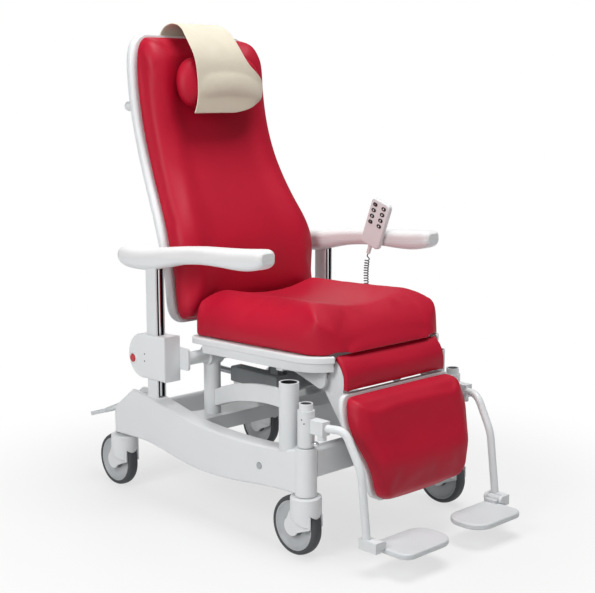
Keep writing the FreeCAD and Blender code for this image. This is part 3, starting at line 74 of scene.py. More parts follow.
def finish(name, light, dark, patch_mm, rough, grain_mm, grain_depth_mm, edge_mm=0.0, **constants):
    """Surface in two tones with slow patches of gleam, a fine raised grain and softened edges."""
    material = bpy.data.materials.new(name)
    material.use_nodes = True
    tree = material.node_tree
    shader = tree.nodes["Principled BSDF"]
    place = add(tree, "ShaderNodeTexCoord").outputs["Object"]
    patches = add(tree, "ShaderNodeTexNoise", {"Scale": 1000 / patch_mm, "Detail": 3.0}, {"Vector": place})
    tone = add(tree, "ShaderNodeMix", {6: linear(dark), 7: linear(light)}, {0: patches.outputs["Fac"]},
               data_type="RGBA")
    gleam = add(tree, "ShaderNodeMapRange", {"To Min": rough[0], "To Max": rough[1]},
                {"Value": patches.outputs["Fac"]})
    grain = add(tree, "ShaderNodeTexNoise", {"Scale": 1000 / grain_mm, "Detail": 2.0}, {"Vector": place})
    bump = add(tree, "ShaderNodeBump", {"Strength": 0.6, "Distance": grain_depth_mm / 1000},
               {"Height": grain.outputs["Fac"]})
    if edge_mm:
        edge = add(tree, "ShaderNodeBevel", {"Radius": edge_mm / 1000}, samples=6)
        tree.links.new(edge.outputs["Normal"], bump.inputs["Normal"])
    tree.links.new(tone.outputs[2], shader.inputs["Base Color"])
    tree.links.new(gleam.outputs["Result"], shader.inputs["Roughness"])
    tree.links.new(bump.outputs["Normal"], shader.inputs["Normal"])
    for socket, value in constants.items():
        shader.inputs[socket.replace("_", " ")].default_value = value
    return material


def dress(material, *names):
    """Gives CAD nodes a finish."""
    for name in names:
        mesh = nodes[name].data
        mesh.materials.clear()
        mesh.materials.append(material)


# the patient's right and left, with the sign of X on that side
sides = {"right": -1, "left": 1}
# a soft satin gleam that slides along the waves, with a grain too fine to see as dots
white_abs = finish("white ABS, satin moulded", "#E4E6E7", "#DCDEE0", patch_mm=180, rough=(0.36, 0.48),
                   grain_mm=1.6, grain_depth_mm=0.02, edge_mm=2.5)
dress(white_abs, "side_rail_right", "side_rail_left")


# Cross beams, uprights, braces and sockets
# Steel tube and bar, welded and powder coated white. The two braces are rolled from flat bar,
# and zinc plated bolts hold the rails on.
# a slightly harder gleam than the mouldings, with the faint orange peel of a baked coat
powder_coat = finish("white powder coat on steel", "#E1E3E4", "#D6D9DB", patch_mm=120, rough=(0.32, 0.44),
                     grain_mm=3.0, grain_depth_mm=0.05, edge_mm=1.5)
# bright silver-grey with a cloudy gleam
zinc = finish("zinc plated steel", "#B9BCBE", "#9DA1A4", patch_mm=25, rough=(0.22, 0.40),
              grain_mm=1.0, grain_depth_mm=0.02, Metallic=1.0)
dress(powder_coat, "crossmembers", "uprights", "accessory_sockets", "curved_braces")
dress(zinc, "rail_bolts")


# Painted shade in the socket and post mouths
# Black rings inside the mouths of the pole sockets, and black discs sunk in the footrest posts, paint the
# shade of the open mouths.
# Both are round and set in from above.
def spun(profile, centre, steps, upright=False):
    """Closed ring spun from (offset, radius) points in metres, about X or, if upright, about Z."""
    form = bmesh.new()
    outline = [form.verts.new((offset, 0, radius)) for offset, radius in profile]
    for first, second in zip(outline, outline[1:] + outline[:1]):
        form.edges.new((first, second))
    bmesh.ops.spin(form, geom=form.verts[:] + form.edges[:], cent=(0, 0, 0), axis=(1, 0, 0),
                   angle=math.tau, steps=steps, use_merge=True)
    bmesh.ops.remove_doubles(form, verts=form.verts[:], dist=1e-6)
    bmesh.ops.recalc_face_normals(form, faces=form.faces[:])
    if upright:
        bmesh.ops.rotate(form, verts=form.verts[:], cent=(0, 0, 0),
                         matrix=Matrix.Rotation(-math.pi / 2, 3, "Y"))
    bmesh.ops.translate(form, verts=form.verts[:], vec=centre)
    return form


def disc(radius, depth, segments, matrix):
    """Short round bar, along Z before its matrix."""
    form = bmesh.new()
    bmesh.ops.create_cone(form, cap_ends=True, segments=segments, radius1=radius, radius2=radius, depth=depth,
                          matrix=matrix)
    return form


def piece(name, form, material, body, smooth_angle=0.6):
    """Object made from a bmesh, smooth but for its sharp edges, riding on a body."""
    mesh = bpy.data.meshes.new(name)
    for face in form.faces:
        face.smooth = True
    for edge in form.edges:
        if len(edge.link_faces) == 2 and edge.calc_face_angle(0) > smooth_angle:
            edge.smooth = False
    form.to_mesh(mesh)
    form.free()
    mesh.materials.append(material)
    made = bpy.data.objects.new(name, mesh)
    bpy.context.scene.collection.objects.link(made)
    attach(made, body)
    return made


# the drawing's origin along the chair
origin_y = 0.09808
post_x = 0.277
socket_y = origin_y - 0.348
socket_top = 0.430
# size of the dark ring that paints the shade inside each socket mouth
shade_ring_inner = 0.0196
shade_ring_outer = 0.0208
shade_ring_depth = 0.140
shade_ring_sink = 0.0008
shade_ring_slope = 0.0004
post_y = origin_y - 0.408
post_top = 0.388
# size of the dark disc that paints the shade inside each post mouth
shade_disc_radius = 0.0137
shade_disc_depth = 0.012
shade_disc_sink = 0.0075
# deep matt black: the real black of the groove and screws, and painted shade that reads as an open mouth in
# the sockets and posts
black_nylon_and_painted_shade = finish("black nylon, matt moulded, and painted shade in mouths", "#1C1D1F", "#131416", patch_mm=20, rough=(0.50, 0.65),
                     grain_mm=1.2, grain_depth_mm=0.02)
# each ring is painted shade inside a socket mouth, each disc painted shade inside a post mouth
for side, sign in sides.items():
    wall = [(-shade_ring_sink - shade_ring_slope, shade_ring_inner), (-shade_ring_sink, shade_ring_outer), (-shade_ring_depth, shade_ring_outer),
            (-shade_ring_depth, shade_ring_inner)]
    shade_ring = spun(wall, (sign * post_x, socket_y, socket_top), 56, upright=True)
    piece(f"socket_mouth_painted_shade_{side}", shade_ring, black_nylon_and_painted_shade, "base")
    shade_disc = disc(shade_disc_radius, shade_disc_depth, 48,
                Matrix.Translation((sign * post_x, post_y, post_top - shade_disc_sink)))
    piece(f"post_mouth_painted_shade_{side}", shade_disc, black_nylon_and_painted_shade, "base")


# Casters
# Moulded white hoods on swivel stems, each with a nylon rim and a bonded grey rubber tyre.
# The tyre has a flat tread with soft shoulders, and the rim is dished towards its hub.
dress(white_abs, *[f"caster_fork_{end}_{side}" for end in ("front", "rear") for side in sides])
# dull dark grey that takes no sharp highlight
tyre_rubber = finish("grey rubber tyre, moulded", "#515356", "#3C3E41", patch_mm=30, rough=(0.55, 0.75),
                     grain_mm=1.2, grain_depth_mm=0.08)
# pale ring between tyre and hood, half matt
rim_nylon = finish("light grey nylon rim, moulded", "#BFC2C4", "#AFB2B5", patch_mm=40, rough=(0.40, 0.55),
                   grain_mm=1.5, grain_depth_mm=0.03)
# the rim's grey nylon, darkened as painted shade for the hub under the hood
hub_painted_shade = finish("grey nylon hub with painted shade", "#6B6E71", "#56595C", patch_mm=40, rough=(0.45, 0.60),
                   grain_mm=1.5, grain_depth_mm=0.03)
# half outlines, as shares of half the wheel's width and of its radius
tread = [(0.88, 0.842), (0.98, 0.865), (1.0, 0.905), (0.9, 0.950), (0.62, 0.985), (0.3, 0.998), (0, 1.0)]
dish = [(0.86, 0.840), (0.84, 0.80), (0.66, 0.77), (0.52, 0.72), (0.40, 0.66), (0.34, 0.50), (0.36, 0.36)]
boss = [(0.36, 0.359), (0.55, 0.30), (0.80, 0.24), (0.86, 0.15), (0.86, 0.09)]
for end in ("front", "rear"):
    for side in sides:
        wheel = f"caster_wheel_{end}_{side}"
        low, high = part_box(wheel)
        half_width = (high.x - low.x) / 2
        radius = (high.z - low.z) / 2
        for name, half, steps, material, slot in (("tyre", tread, 72, tyre_rubber, "tyre_grey"),
                                                  ("rim", dish, 72, rim_nylon, "grey_moulding"),
                                                  ("hub", boss, 48, hub_painted_shade, "grey_moulding")):
            whole = half + [(-x, r) for x, r in reversed(half) if x]
            ring = spun([(x * half_width, r * radius) for x, r in whole], (low + high) / 2, steps)
            made = piece(f"caster_{name}_{end}_{side}", ring, material, f"wheel_{end}_{side}")
            if name == "tyre":
                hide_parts(wheel)


# Brake pedals
# Levers moulded in pale nylon, one each side, that come out of a slot in the rear corner of the rail.
# Each turns on a pivot in the rail, and the two move together.
# even pale grey, a touch duller than the rails
grey_nylon = finish("pale grey nylon, moulded", "#D3D6D8", "#C6CACC", patch_mm=90, rough=(0.40, 0.54),
                    grain_mm=1.6, grain_depth_mm=0.03, edge_mm=2.0)
dress(grey_nylon, "brake_pedal_right", "brake_pedal_left")


# Actuators and control box
# Linear actuators with gear motors under the seat, in grey ABS with zinc plated push rods.
# The control box is fixed to the left spine of the frame.
# mid grey with a coarse spark-eroded mould texture, quite matt
dark_abs = finish("grey ABS, spark eroded", "#8C8F91", "#787B7E", patch_mm=60, rough=(0.48, 0.62),
                  grain_mm=1.4, grain_depth_mm=0.06, edge_mm=2.0)
dress(dark_abs, "tilt_actuator", "back_actuator", "leg_actuator", "control_box")
dress(zinc, "tilt_rod", "back_rod", "leg_rod")


# Seat frame and tray
# Welded steel frame, powder coated white, which tilts on its cross tube between the uprights.
# A white moulded tray with a turned-down rim lies on it and carries the cushion.
dress(powder_coat, "seat_frame")
dress(white_abs, "seat_tray")


# Seat cushion
# Thick moulded foam under tight red vinyl, dished for the sitter and rounded over the front.
# The cover is swelled by the foam and held down on the tray.
def red_vinyl_cover():
    """Even red with a slow shift of tone, a soft pebble grain and a broad soft gleam."""
    material = bpy.data.materials.new("red upholstery vinyl, soft grain")
    material.use_nodes = True
    tree = material.node_tree
    shader = tree.nodes["Principled BSDF"]
    place = add(tree, "ShaderNodeTexCoord").outputs["Object"]
    tone_mm = 140
    tone = add(tree, "ShaderNodeTexNoise", {"Scale": 1000 / tone_mm, "Detail": 2.0}, {"Vector": place})
    tint = add(tree, "ShaderNodeMix", {6: linear("#A80728"), 7: linear("#BA0A2C")}, {0: tone.outputs["Fac"]},
               data_type="RGBA")
    gleam = add(tree, "ShaderNodeMapRange", {"To Min": 0.46, "To Max": 0.58}, {"Value": tone.outputs["Fac"]})
    # the pebbles of the grain are about 1 mm; they are drawn coarser so that they show
    pebble_mm = 2.2
    pebbles = add(tree, "ShaderNodeTexVoronoi", {"Scale": 1000 / pebble_mm}, {"Vector": place},
                  feature="SMOOTH_F1")
    bump = add(tree, "ShaderNodeBump", {"Strength": 0.22, "Distance": 0.0004},
               {"Height": pebbles.outputs["Distance"]})
    tree.links.new(tint.outputs[2], shader.inputs["Base Color"])
    tree.links.new(gleam.outputs["Result"], shader.inputs["Roughness"])
    tree.links.new(bump.outputs["Normal"], shader.inputs["Normal"])
    shader.inputs["Specular IOR Level"].default_value = 0.28
    return material


# deep red that brightens softly along every rounded edge
red_vinyl = red_vinyl_cover()


def settle(made):
    """Applies an object's modifiers to its mesh."""
    shown = made.evaluated_get(bpy.context.evaluated_depsgraph_get())
    mesh = bpy.data.meshes.new_from_object(shown)
    made.modifiers.clear()
    made.data = mesh


def inflate(made, held, swell):
    """Blows up a cover by pressure, held at some vertices, and moves none further than the swell."""
    frames = 20
    start = [v.co.copy() for v in made.data.vertices]
    made.vertex_groups.new(name="held").add(held, 1.0, "REPLACE")
    cloth = made.modifiers.new("cover", "CLOTH")
    cloth.settings.use_pressure = True
    cloth.settings.uniform_pressure_force = 4.0
    cloth.settings.effector_weights.gravity = 0.0
    cloth.settings.vertex_group_mass = "held"
    cloth.settings.quality = 4
    for step in range(1, frames + 1):
        bpy.context.scene.frame_set(step)
    settle(made)
    for vertex, before in zip(made.data.vertices, start):
        move = vertex.co - before
        if move.length > swell:
            vertex.co = before + move.normalized() * swell
    bpy.context.scene.frame_set(1)


def upholstered(name, node, body, pinned, voxel, shrink, swell, rounding, hollow=0.0, lobe=0.0):
    """Stuffed vinyl piece swelled by pressure from its solid, held on the side that pinned points to.

    hollow sinks the middle of the front between two side bolsters, lobe rounds the ends to an egg.
    """
    # how far a face is turned to the fixed side when it is held, and when it is still quite loose
    held_facing = 0.55
    loose_facing = 0.30
    # the hollow fades out towards the bolsters, over shares of half the width of its row
    row_height = 0.02
    bolster_share = 0.86
    fade_share = 0.40
    egg_middle = 0.45
    form = bmesh.new()
    form.from_mesh(nodes[node].data)
    bmesh.ops.remove_doubles(form, verts=form.verts[:], dist=1e-5)
    mesh = bpy.data.meshes.new(name)
    form.to_mesh(mesh)
    form.free()
    made = bpy.data.objects.new(name, mesh)
    bpy.context.scene.collection.objects.link(made)
    remesh = made.modifiers.new("even mesh", "REMESH")
    remesh.mode = "VOXEL"
    remesh.voxel_size = voxel
    settle(made)
    outward = [v.normal.copy() for v in made.data.vertices]
    held = [i for i, way in enumerate(outward) if way.dot(pinned) > held_facing]
    for vertex, way in zip(made.data.vertices, outward):
        loose = 1 - max(0, min(1, (way.dot(pinned) - loose_facing) / (held_facing - loose_facing)))
        vertex.co -= way * shrink * loose
    inflate(made, held, swell)
    form = bmesh.new()
    form.from_mesh(made.data)
    low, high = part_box(node)
    reach = {}
    for vert in form.verts:
        row = round(vert.co.z / row_height)
        reach[row] = max(reach.get(row, 0.0), abs(vert.co.x))
    for vert, way in zip(form.verts, outward):
        share = abs(vert.co.x) / reach[round(vert.co.z / row_height)]
        middle = max(0.0, min(1.0, (bolster_share - share) / fade_share))
        vert.co += pinned * hollow * max(0.0, -way.dot(pinned)) * middle * middle * (3 - 2 * middle)
        rise = (vert.co.z - low.z) / (high.z - low.z)
        vert.co.x *= 1 - lobe * (2 * (rise - egg_middle)) ** 2
    for _ in range(rounding):
        bmesh.ops.smooth_vert(form, verts=form.verts[:], factor=0.5, use_axis_x=True, use_axis_y=True,
                              use_axis_z=True)
    for face in form.faces:
        face.smooth = True
    form.to_mesh(made.data)
    form.free()
    made.data.materials.clear()
    made.data.materials.append(red_vinyl)
    made.vertex_groups.clear()
    soft = made.modifiers.new("soft", "SUBSURF")
    soft.levels = 1
    soft.render_levels = 1
    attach(made, body)
    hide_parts(node)
    return made


upholstered("seat_pad", "seat_cushion", "seat", pinned=Vector((0, 0, -1)), voxel=0.006, shrink=0.005,
            swell=0.012, rounding=10)


# Armrest columns
# White coated aluminium profiles that slide in the housings. Each has a black guide groove
# down its front face with a chromed rod in it.
corner_radius = 0.004
groove_wall = 0.002
groove_depth = 0.010
rod_radius = 0.0042
rod_setback = 0.0050
rod_shorter = 0.010
groove_slack = 0.001
# near mirror that shows as thin dark and bright bands
chrome = finish("polished chrome plate", "#DCDEE0", "#CFD2D5", patch_mm=60, rough=(0.06, 0.14),
                grain_mm=2.0, grain_depth_mm=0.004, Metallic=1.0)
for side in sides:
    low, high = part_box(f"armrest_column_{side}")
    middle = (low + high) / 2
    size = high - low
    profile = bmesh.new()
    bmesh.ops.create_cube(profile, size=1, matrix=Matrix.Translation(middle) @ Matrix.Diagonal((*size, 1)))
    corners = [edge for edge in profile.edges if abs(edge.verts[0].co.z - edge.verts[1].co.z) > size.z / 2]
    bmesh.ops.bevel(profile, geom=corners, offset=corner_radius, offset_type="OFFSET", segments=4,
                    profile=0.5, affect="EDGES", material=-1)
    profile.normal_update()
    front = min(profile.faces, key=lambda face: face.normal.y)
    bmesh.ops.inset_region(profile, faces=[front], thickness=groove_wall, use_even_offset=True)
    sunk = bmesh.ops.extrude_discrete_faces(profile, faces=[front])["faces"]
    bmesh.ops.translate(profile, verts=sunk[0].verts[:], vec=(0, groove_depth, 0))
    made = piece(f"armrest_profile_{side}", profile, powder_coat, f"armrest_{side}", 0.5)
    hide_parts(f"armrest_column_{side}")
    made.data.materials.append(black_nylon_and_painted_shade)
    groove_half = size.x / 2 - corner_radius - groove_wall
    for face in made.data.polygons:
        within = abs(face.center.x - middle.x) < groove_half + groove_slack
        sunken = groove_slack < face.center.y - low.y < groove_depth + groove_slack
        if within and sunken and abs(face.normal.z) < 0.5:
            face.material_index = 1
    rod = disc(rod_radius, size.z - rod_shorter, 28,
               Matrix.Translation((middle.x, low.y + rod_setback, middle.z)))
    piece(f"armrest_rod_{side}", rod, chrome, f"armrest_{side}")


# Column housings and release buttons
# White moulded D-shaped housings on the ends of the seat's cross tube. Each has a red push button
# in a raised ring, and two small recessed screws.
housing_face_x = 0.342
screw_y = origin_y + 0.1515
screw_rises = (0.4302, 0.4108)
screw_radius = 0.0021
screw_depth = 0.001
# outline of the raised ring: how far it stands out, and its radius
lip = [(-0.0006, 0.0114), (0.0016, 0.0116), (0.0022, 0.0128), (0.0020, 0.0146), (0.0010, 0.0158),
       (-0.0006, 0.0162)]
# clear glossy red, the only shiny plastic on the chair
button_red = finish("red ABS, glossy", "#C2182B", "#B21225", patch_mm=20, rough=(0.18, 0.26),
                    grain_mm=1.0, grain_depth_mm=0.01)
dress(white_abs, "column_housings")
for side, sign in sides.items():
    dress(button_red, f"release_button_{side}")
    low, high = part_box(f"release_button_{side}")
    face_x = sign * housing_face_x
    ring = spun([(x * sign, r) for x, r in lip], (face_x, (low.y + high.y) / 2, (low.z + high.z) / 2), 48)
    piece(f"button_ring_{side}", ring, white_abs, "seat")
    for number, rise in enumerate(screw_rises, 1):
        screw = disc(screw_radius, screw_depth, 16,
                     Matrix.Translation((face_x, screw_y, rise)) @ Matrix.Rotation(math.pi / 2, 4, "Y"))
        piece(f"housing_screw_{side}_{number}", screw, black_nylon_and_painted_shade, "seat")


# Armrests
# Curved shells moulded in white ABS, one on the top of each column.
# Each carries a soft pad of integral-skin foam, and a curved seam shows where the two meet.
dress(white_abs, "armrest_shell_right", "armrest_shell_left")
# a little warmer and duller than the shell, so that the seam shows
white_skin = finish("white polyurethane skin, satin", "#E8E8E8", "#E1E1E1", patch_mm=120, rough=(0.48, 0.60),
                    grain_mm=1.8, grain_depth_mm=0.03, edge_mm=1.5)
dress(white_skin, "armrest_pad_right", "armrest_pad_left")


# Handset
# Slim pale case clipped inside the left armrest, with eight oval rubber keys in two columns.
# Each key has a plain pad-printed mark.
mark_radius = 0.0029
mark_depth = 0.0004
mark_proud = 0.0001
case_lean = math.radians(20)
# pale grey with a fine texture that kills reflections
case_grey = finish("pale grey ABS, fine texture", "#E6E8E9", "#DEE1E2", patch_mm=50, rough=(0.45, 0.58),
                   grain_mm=1.0, grain_depth_mm=0.03)
# nearly black and satin
key_rubber = finish("black silicone keys, satin", "#26282B", "#1C1E20", patch_mm=10, rough=(0.40, 0.52),
                    grain_mm=0.8, grain_depth_mm=0.02)
# flat white ink
mark_white = finish("white pad print", "#E9EAEA", "#DDDEDF", patch_mm=5, rough=(0.50, 0.60),
                    grain_mm=1.0, grain_depth_mm=0.005)
# flat grey ink
mark_grey = finish("grey pad print", "#8B8E92", "#7D8084", patch_mm=5, rough=(0.50, 0.60),
                   grain_mm=1.0, grain_depth_mm=0.005)
dress(case_grey, "handset_case")
for name in ("back_up", "back_down", "legs_up", "legs_down", "tilt_up", "tilt_down", "flat", "upright"):
    key = f"key_{name}"
    dress(key_rubber, key)
    low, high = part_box(key)
    place = Matrix.Translation((low.x - mark_proud, (low.y + high.y) / 2, (low.z + high.z) / 2))
    turn = Matrix.Rotation(case_lean, 4, "X") @ Matrix.Rotation(math.pi / 2, 4, "Y")
    ink = mark_grey if name in ("back_down", "upright") else mark_white
    piece(f"{key}_mark", disc(mark_radius, mark_depth, 4, place @ turn), ink, key)


# Handset cord
# Curly polyurethane cord from the handset round the edge of the seat to the control box.
# Its helix is wound round a smooth line and hangs free between the two.
cord_way = [(0.262, -0.0062, 0.67384), (0.2645, 0.00258, 0.641), (0.269, 0.00808, 0.603),
            (0.2755, 0.01058, 0.564), (0.282, 0.01158, 0.525), (0.286, 0.01108, 0.488),
            (0.283, 0.00958, 0.455), (0.271, 0.00758, 0.427), (0.250, 0.00558, 0.407),
            (0.225, 0.00358, 0.3985), (0.20075, 0.00308, 0.397)]
coil_radius = 0.0061
wire_radius = 0.0017
coil_pitch = 0.0074
lead_length = 0.024
points_per_turn = 16


def nurbs(name, points, fineness):
    """Curve object with one smooth open spline, drawn in that many steps per point."""
    curve = bpy.data.curves.new(name, "CURVE")
    curve.dimensions = "3D"
    spline = curve.splines.new("NURBS")
    spline.points.add(len(points) - 1)
    for point, place in zip(spline.points, points):
        point.co = (*place, 1.0)
    spline.order_u = 3
    spline.use_endpoint_u = True
    curve.resolution_u = fineness
    made = bpy.data.objects.new(name, curve)
    bpy.context.scene.collection.objects.link(made)
    return made


def curve_mesh(name, points, fineness, radius=0.0):
    """Mesh of a smooth line, or of a round wire along it, from a curve that is then removed."""
    guide = nurbs(name, points, fineness)
    guide.data.bevel_depth = radius
    guide.data.bevel_resolution = 2
    bpy.context.view_layer.update()
    mesh = bpy.data.meshes.new_from_object(guide.evaluated_get(bpy.context.evaluated_depsgraph_get()))
    bpy.data.objects.remove(guide)
    return mesh


def line_points(name, points, fineness=12):
    """Points along a smooth line."""
    return [v.co.copy() for v in curve_mesh(name, points, fineness).vertices]


def reaches(line):
    """Distance along a line of points from its start to each of them."""
    found = [0.0]
    for first, second in zip(line, line[1:]):
        found.append(found[-1] + (second - first).length)
    return found


centre_line = line_points("cord_guide", cord_way)
centre_length = reaches(centre_line)[-1]
helix = []
gone = 0.0
turned = 0.0
across = Vector((0, 1, 0))
for start, end in zip(centre_line, centre_line[1:]):
    run = end - start
    along = run.normalized()
    across = (across - along * across.dot(along)).normalized()
    sideways = along.cross(across)
    count = max(1, round(run.length / coil_pitch * points_per_turn))
    for i in range(count):
        # each end leaves straight and swings out to the full coil over its lead
        wound = min(1.0, gone / lead_length, (centre_length - gone) / lead_length)
        spread = coil_radius * (1 - (1 - wound) ** 3 * (1 + 3 * wound))
        outward = across * math.cos(turned) + sideways * math.sin(turned)
        helix.append(start + run * (i / count) + outward * spread)
        turned += math.tau / points_per_turn * wound ** 2
        gone += run.length / count
helix.append(centre_line[-1])
coil_line = line_points("coil_guide", helix, 2)
wire = curve_mesh("handset_curly_cord", helix, 2, wire_radius)
wire.materials.clear()
# mid grey and slightly shiny, so each coil catches a small light
wire.materials.append(finish("grey polyurethane cord", "#7B7D80", "#6A6C6F", patch_mm=15, rough=(0.36, 0.48),
                             grain_mm=1.0, grain_depth_mm=0.02))
cord = bpy.data.objects.new("handset_curly_cord", wire)
bpy.context.scene.collection.objects.link(cord)
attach(cord, "seat")
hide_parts("handset_cord")
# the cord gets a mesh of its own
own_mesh(cord)


# Back shell, cushion and push handle
# White moulded ABS shell, hinged behind the seat, with a bent and coated steel push bar at its rear.
# It carries the tall cushion, contoured foam under red vinyl.
dress(white_abs, "back_shell")
dress(powder_coat, "push_handle")
back_pad = upholstered("back_pad", "back_cushion", "back", pinned=Vector((0, 1, 0)), voxel=0.007,
                       shrink=0.005, swell=0.011, rounding=8, hollow=0.016)


# Headrest pillow
# Plump roll of foam in a red vinyl cover, with rounded ends.
# It hangs in front of the back on the strap of its cloth cover.
pillow = upholstered("head_pillow", "headrest_pillow", "headrest", pinned=Vector((0, 1, 0)), voxel=0.005,
                     shrink=0.002, swell=0.014, rounding=60, lobe=0.22)


# Headrest cover
# Cream towelling strap, narrow over the top of the back and wide in front of the pillow.
# It lies on the pillow, stands clear of the back's top edge and hangs down behind.
cover_way = [(0, 0.298, 1.069), (0, 0.293, 1.120), (0, 0.294, 1.180), (0, 0.300, 1.225), (0, 0.325, 1.268),
             (0, 0.366, 1.306), (0, 0.420, 1.319), (0, 0.472, 1.303), (0, 0.488, 1.260), (0, 0.486, 1.205)]
# the two edges, as X at shares of the way from the front hem to the rear one
left_edge = [(0.0, -0.121), (0.05, -0.111), (0.20, -0.111), (0.33, -0.116), (0.45, -0.122), (0.60, -0.106),
             (0.80, -0.096), (1.0, -0.096)]
right_edge = [(0.0, 0.022), (0.01, 0.066), (0.05, 0.112), (0.12, 0.145), (0.19, 0.140), (0.25, 0.104),
              (0.30, 0.074), (0.40, 0.056), (0.7, 0.054), (1.0, 0.054)]
cover_thick = 0.0032
cover_gap = 0.0012
# the wide front wraps back round the pillow from this X, less and less up to this share of the way
curl_from_x = 0.080
curl_per_m = 9
curl_end = 0.34
cover_line = line_points("cover_guide", cover_way)
left_line, right_line = [
    [(point.x, point.y) for point in line_points("cover_edge_guide", [(run, x, 0) for run, x in edge])]
    for edge in (left_edge, right_edge)]
cover_reach = reaches(cover_line)
cover_length = cover_reach[-1]
depth_line = [(reach / cover_length, point.y) for reach, point in zip(cover_reach, cover_line)]
rise_line = [(reach / cover_length, point.z) for reach, point in zip(cover_reach, cover_line)]


def between(table, at):
    """Value of a table of (place, value) pairs at a place, joined by straight lines."""
    for (a, low), (b, high) in zip(table, table[1:]):
        if at <= b:
            return low + (high - low) * (at - a) / (b - a)
    return table[-1][1]


towel = bmesh.new()
bmesh.ops.create_grid(towel, x_segments=44, y_segments=110, size=0.5)
for vert in towel.verts:
    share = vert.co.x + 0.5
    run = vert.co.y + 0.5
    start_x = between(left_line, run)
    x = start_x + (between(right_line, run) - start_x) * share
    curl = max(0.0, x - curl_from_x) ** 2 * curl_per_m * max(0.0, 1 - run / curl_end)
    vert.co = (x, between(depth_line, run) + curl, between(rise_line, run))
under = [BVHTree.FromObject(made, bpy.context.evaluated_depsgraph_get()) for made in (pillow, back_pad)]
for _ in range(4):
    bmesh.ops.smooth_vert(towel, verts=[v for v in towel.verts if not v.is_boundary], factor=0.5,
                          use_axis_x=True, use_axis_y=True, use_axis_z=True)
    for vert in towel.verts:
        for tree in under:
            place, way, _, _ = tree.find_nearest(vert.co)
            if (vert.co - place).dot(way) < cover_gap:
                vert.co = place + way * cover_gap
bmesh.ops.recalc_face_normals(towel, faces=towel.faces[:])
front = min(towel.faces, key=lambda face: face.calc_center_median().z)
if front.normal.y > 0:
    bmesh.ops.reverse_faces(towel, faces=towel.faces[:])
# warm off-white with loops that break every highlight
towelling = finish("cream towelling, cut loop", "#E2DAC8", "#D6CDB8", patch_mm=45, rough=(0.9, 1.0),
                   grain_mm=2.2, grain_depth_mm=0.9, Sheen_Weight=0.15)
cover = piece("headrest_towel", towel, towelling, "headrest")
thick = cover.modifiers.new("pile", "SOLIDIFY")
thick.thickness = cover_thick
thick.offset = 1.0
soft = cover.modifiers.new("soft", "SUBSURF")
soft.levels = 1
soft.render_levels = 1
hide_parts("headrest_cover")


# Leg rest
# White moulded shell on two arms that turn on the knee shaft under the front of the seat.
# Its calf pad and the curved flap over the knee joint are foam under red vinyl.
dress(white_abs, "calf_shell")
upholstered("calf_cushion", "calf_pad", "legrest", pinned=Vector((0, 1, 0)), voxel=0.005, shrink=0.004,
            swell=0.006, rounding=14)
upholstered("knee_cover", "knee_flap", "legrest", pinned=Vector((0, 1, 0)), voxel=0.004, shrink=0.002,
            swell=0.003, rounding=4)


# Footrests
# Bent steel hangers on the front posts, each with a chromed lock knob and a flip-up nylon plate.
# Two small set screws go through the sleeve.
sleeve_radius = 0.0208
set_screw_radius = 0.0017
set_screw_depth = 0.0012
# degrees round the post from its outer side, and rise
set_screws = ((-14.63, 0.3512), (-32.32, 0.3420))
for side, sign in sides.items():
    dress(powder_coat, f"hanger_{side}")
    dress(chrome, f"hanger_knob_{side}")
    dress(grey_nylon, f"footplate_{side}")
    for number, (angle, rise) in enumerate(set_screws, 1):
        way = Vector((math.cos(math.radians(angle)), math.sin(math.radians(angle)), 0))
        place = Vector((post_x, post_y, rise)) + way * sleeve_radius
        screw = disc(set_screw_radius, set_screw_depth, 14,
                     Matrix.Translation(place) @ way.to_track_quat("Z", "Y").to_matrix().to_4x4())
        if sign < 0:
            # mirror keeps the left copy in the right-hand piece too, a known fault of that piece
            bmesh.ops.mirror(screw, geom=screw.verts[:] + screw.edges[:] + screw.faces[:], axis="X")
        piece(f"sleeve_screw_{side}_{number}", screw, black_nylon_and_painted_shade, f"footrest_{side}")


# Studio
# White paper floor that fades into a white background, with soft light from the upper left
# and from above.
def studio_paper():
    """Matt white that stays white to the camera and keeps the soft shadow under the chair."""
    material = bpy.data.materials.new("white studio paper")
    material.use_nodes = True
    tree = material.node_tree
    shader = tree.nodes["Principled BSDF"]
    shader.inputs["Base Color"].default_value = linear("#D6D6D6")
    shader.inputs["Roughness"].default_value = 0.8
    glow = add(tree, "ShaderNodeEmission", {"Color": (1, 1, 1, 1), "Strength": 1.0})
    place = add(tree, "ShaderNodeTexCoord").outputs["Object"]
    away = add(tree, "ShaderNodeVectorMath", None, {0: place}, operation="LENGTH")
    fade = add(tree, "ShaderNodeMapRange",
               {"From Min": 0.55, "From Max": 1.35, "To Min": 0.66, "To Max": 1.0},
               {"Value": away.outputs["Value"]}, interpolation_type="SMOOTHSTEP")
    rays = add(tree, "ShaderNodeLightPath").outputs
    seen = add(tree, "ShaderNodeMath", None, {0: rays["Is Camera Ray"], 1: rays["Is Glossy Ray"]},
               operation="MAXIMUM")
    seen = add(tree, "ShaderNodeMath", None, {0: seen.outputs[0], 1: rays["Is Transmission Ray"]},
               operation="MAXIMUM")
    share = add(tree, "ShaderNodeMath", None, {0: seen.outputs[0], 1: fade.outputs["Result"]},
                operation="MULTIPLY")
    mix = add(tree, "ShaderNodeMixShader", None,
              {0: share.outputs[0], 1: shader.outputs[0], 2: glow.outputs[0]})
    tree.links.new(mix.outputs[0], tree.nodes["Material Output"].inputs["Surface"])
    return material


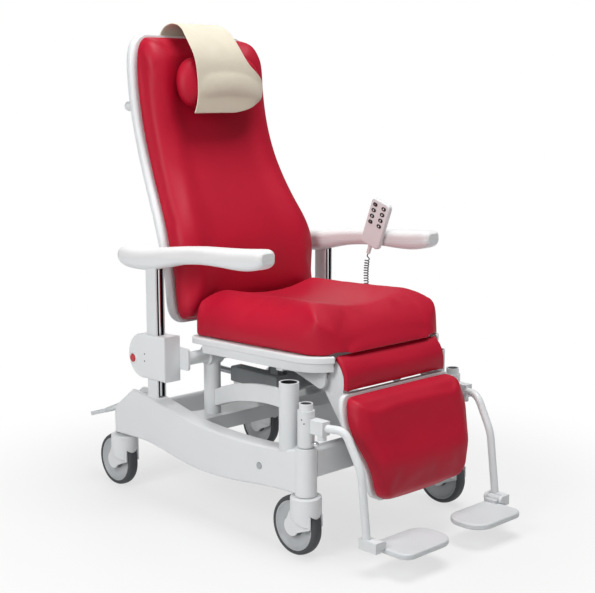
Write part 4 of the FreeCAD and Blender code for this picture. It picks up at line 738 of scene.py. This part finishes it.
paper = bmesh.new()
bmesh.ops.create_grid(paper, x_segments=1, y_segments=1, size=30)
mesh = bpy.data.meshes.new("studio_floor")
paper.to_mesh(mesh)
paper.free()
mesh.materials.append(studio_paper())
floor = bpy.data.objects.new("studio_floor", mesh)
bpy.context.scene.collection.objects.link(floor)

world = bpy.data.worlds.new("white studio")
bpy.context.scene.world = world
world.use_nodes = True
tree = world.node_tree
sky = tree.nodes["Background"]
sky.inputs["Color"].default_value = (1, 1, 1, 1)
sky.inputs["Strength"].default_value = 0.20
white = add(tree, "ShaderNodeBackground", {"Color": (1, 1, 1, 1), "Strength": 1.0})
rays = add(tree, "ShaderNodeLightPath").outputs
mix = add(tree, "ShaderNodeMixShader", None,
          {0: rays["Is Camera Ray"], 1: sky.outputs[0], 2: white.outputs[0]})
tree.links.new(mix.outputs[0], tree.nodes["World Output"].inputs["Surface"])


def softbox(name, place, target, size, power):
    """Square area lamp aimed at a point."""
    lamp = bpy.data.lights.new(name, "AREA")
    lamp.size = size
    lamp.energy = power
    made = bpy.data.objects.new(name, lamp)
    made.location = place
    made.rotation_euler = (Vector(target) - Vector(place)).to_track_quat("-Z", "Y").to_euler()
    bpy.context.scene.collection.objects.link(made)


softbox("key_lamp", (-3.2, -0.4, 2.3), target=(0, 0, 0.6), size=1.6, power=66)
softbox("top_lamp", (0.2, -0.6, 5.0), target=(0, 0, 0.4), size=2.6, power=185)
softbox("front_lamp", (-1.2, -3.6, 1.4), target=(0, 0, 0.6), size=2.0, power=6)
softbox("rear_lamp", (2.4, 3.4, 2.2), target=(0, 0, 0.6), size=2.0, power=22)

photo_width = 595
focal_px = 1189.46
camera_down = 9.51
camera_turn = -43.6
lens = bpy.data.cameras.new("photo_camera")
lens.sensor_width = 36.0
lens.lens = focal_px * lens.sensor_width / photo_width
camera = bpy.data.objects.new("photo_camera", lens)
camera.location = (-2.20584, -2.30546, 1.11265)
camera.rotation_euler = (math.radians(90 - camera_down), 0, math.radians(camera_turn))
bpy.context.scene.collection.objects.link(camera)
bpy.context.scene.camera = camera
bpy.context.scene.view_settings.view_transform = "Standard"
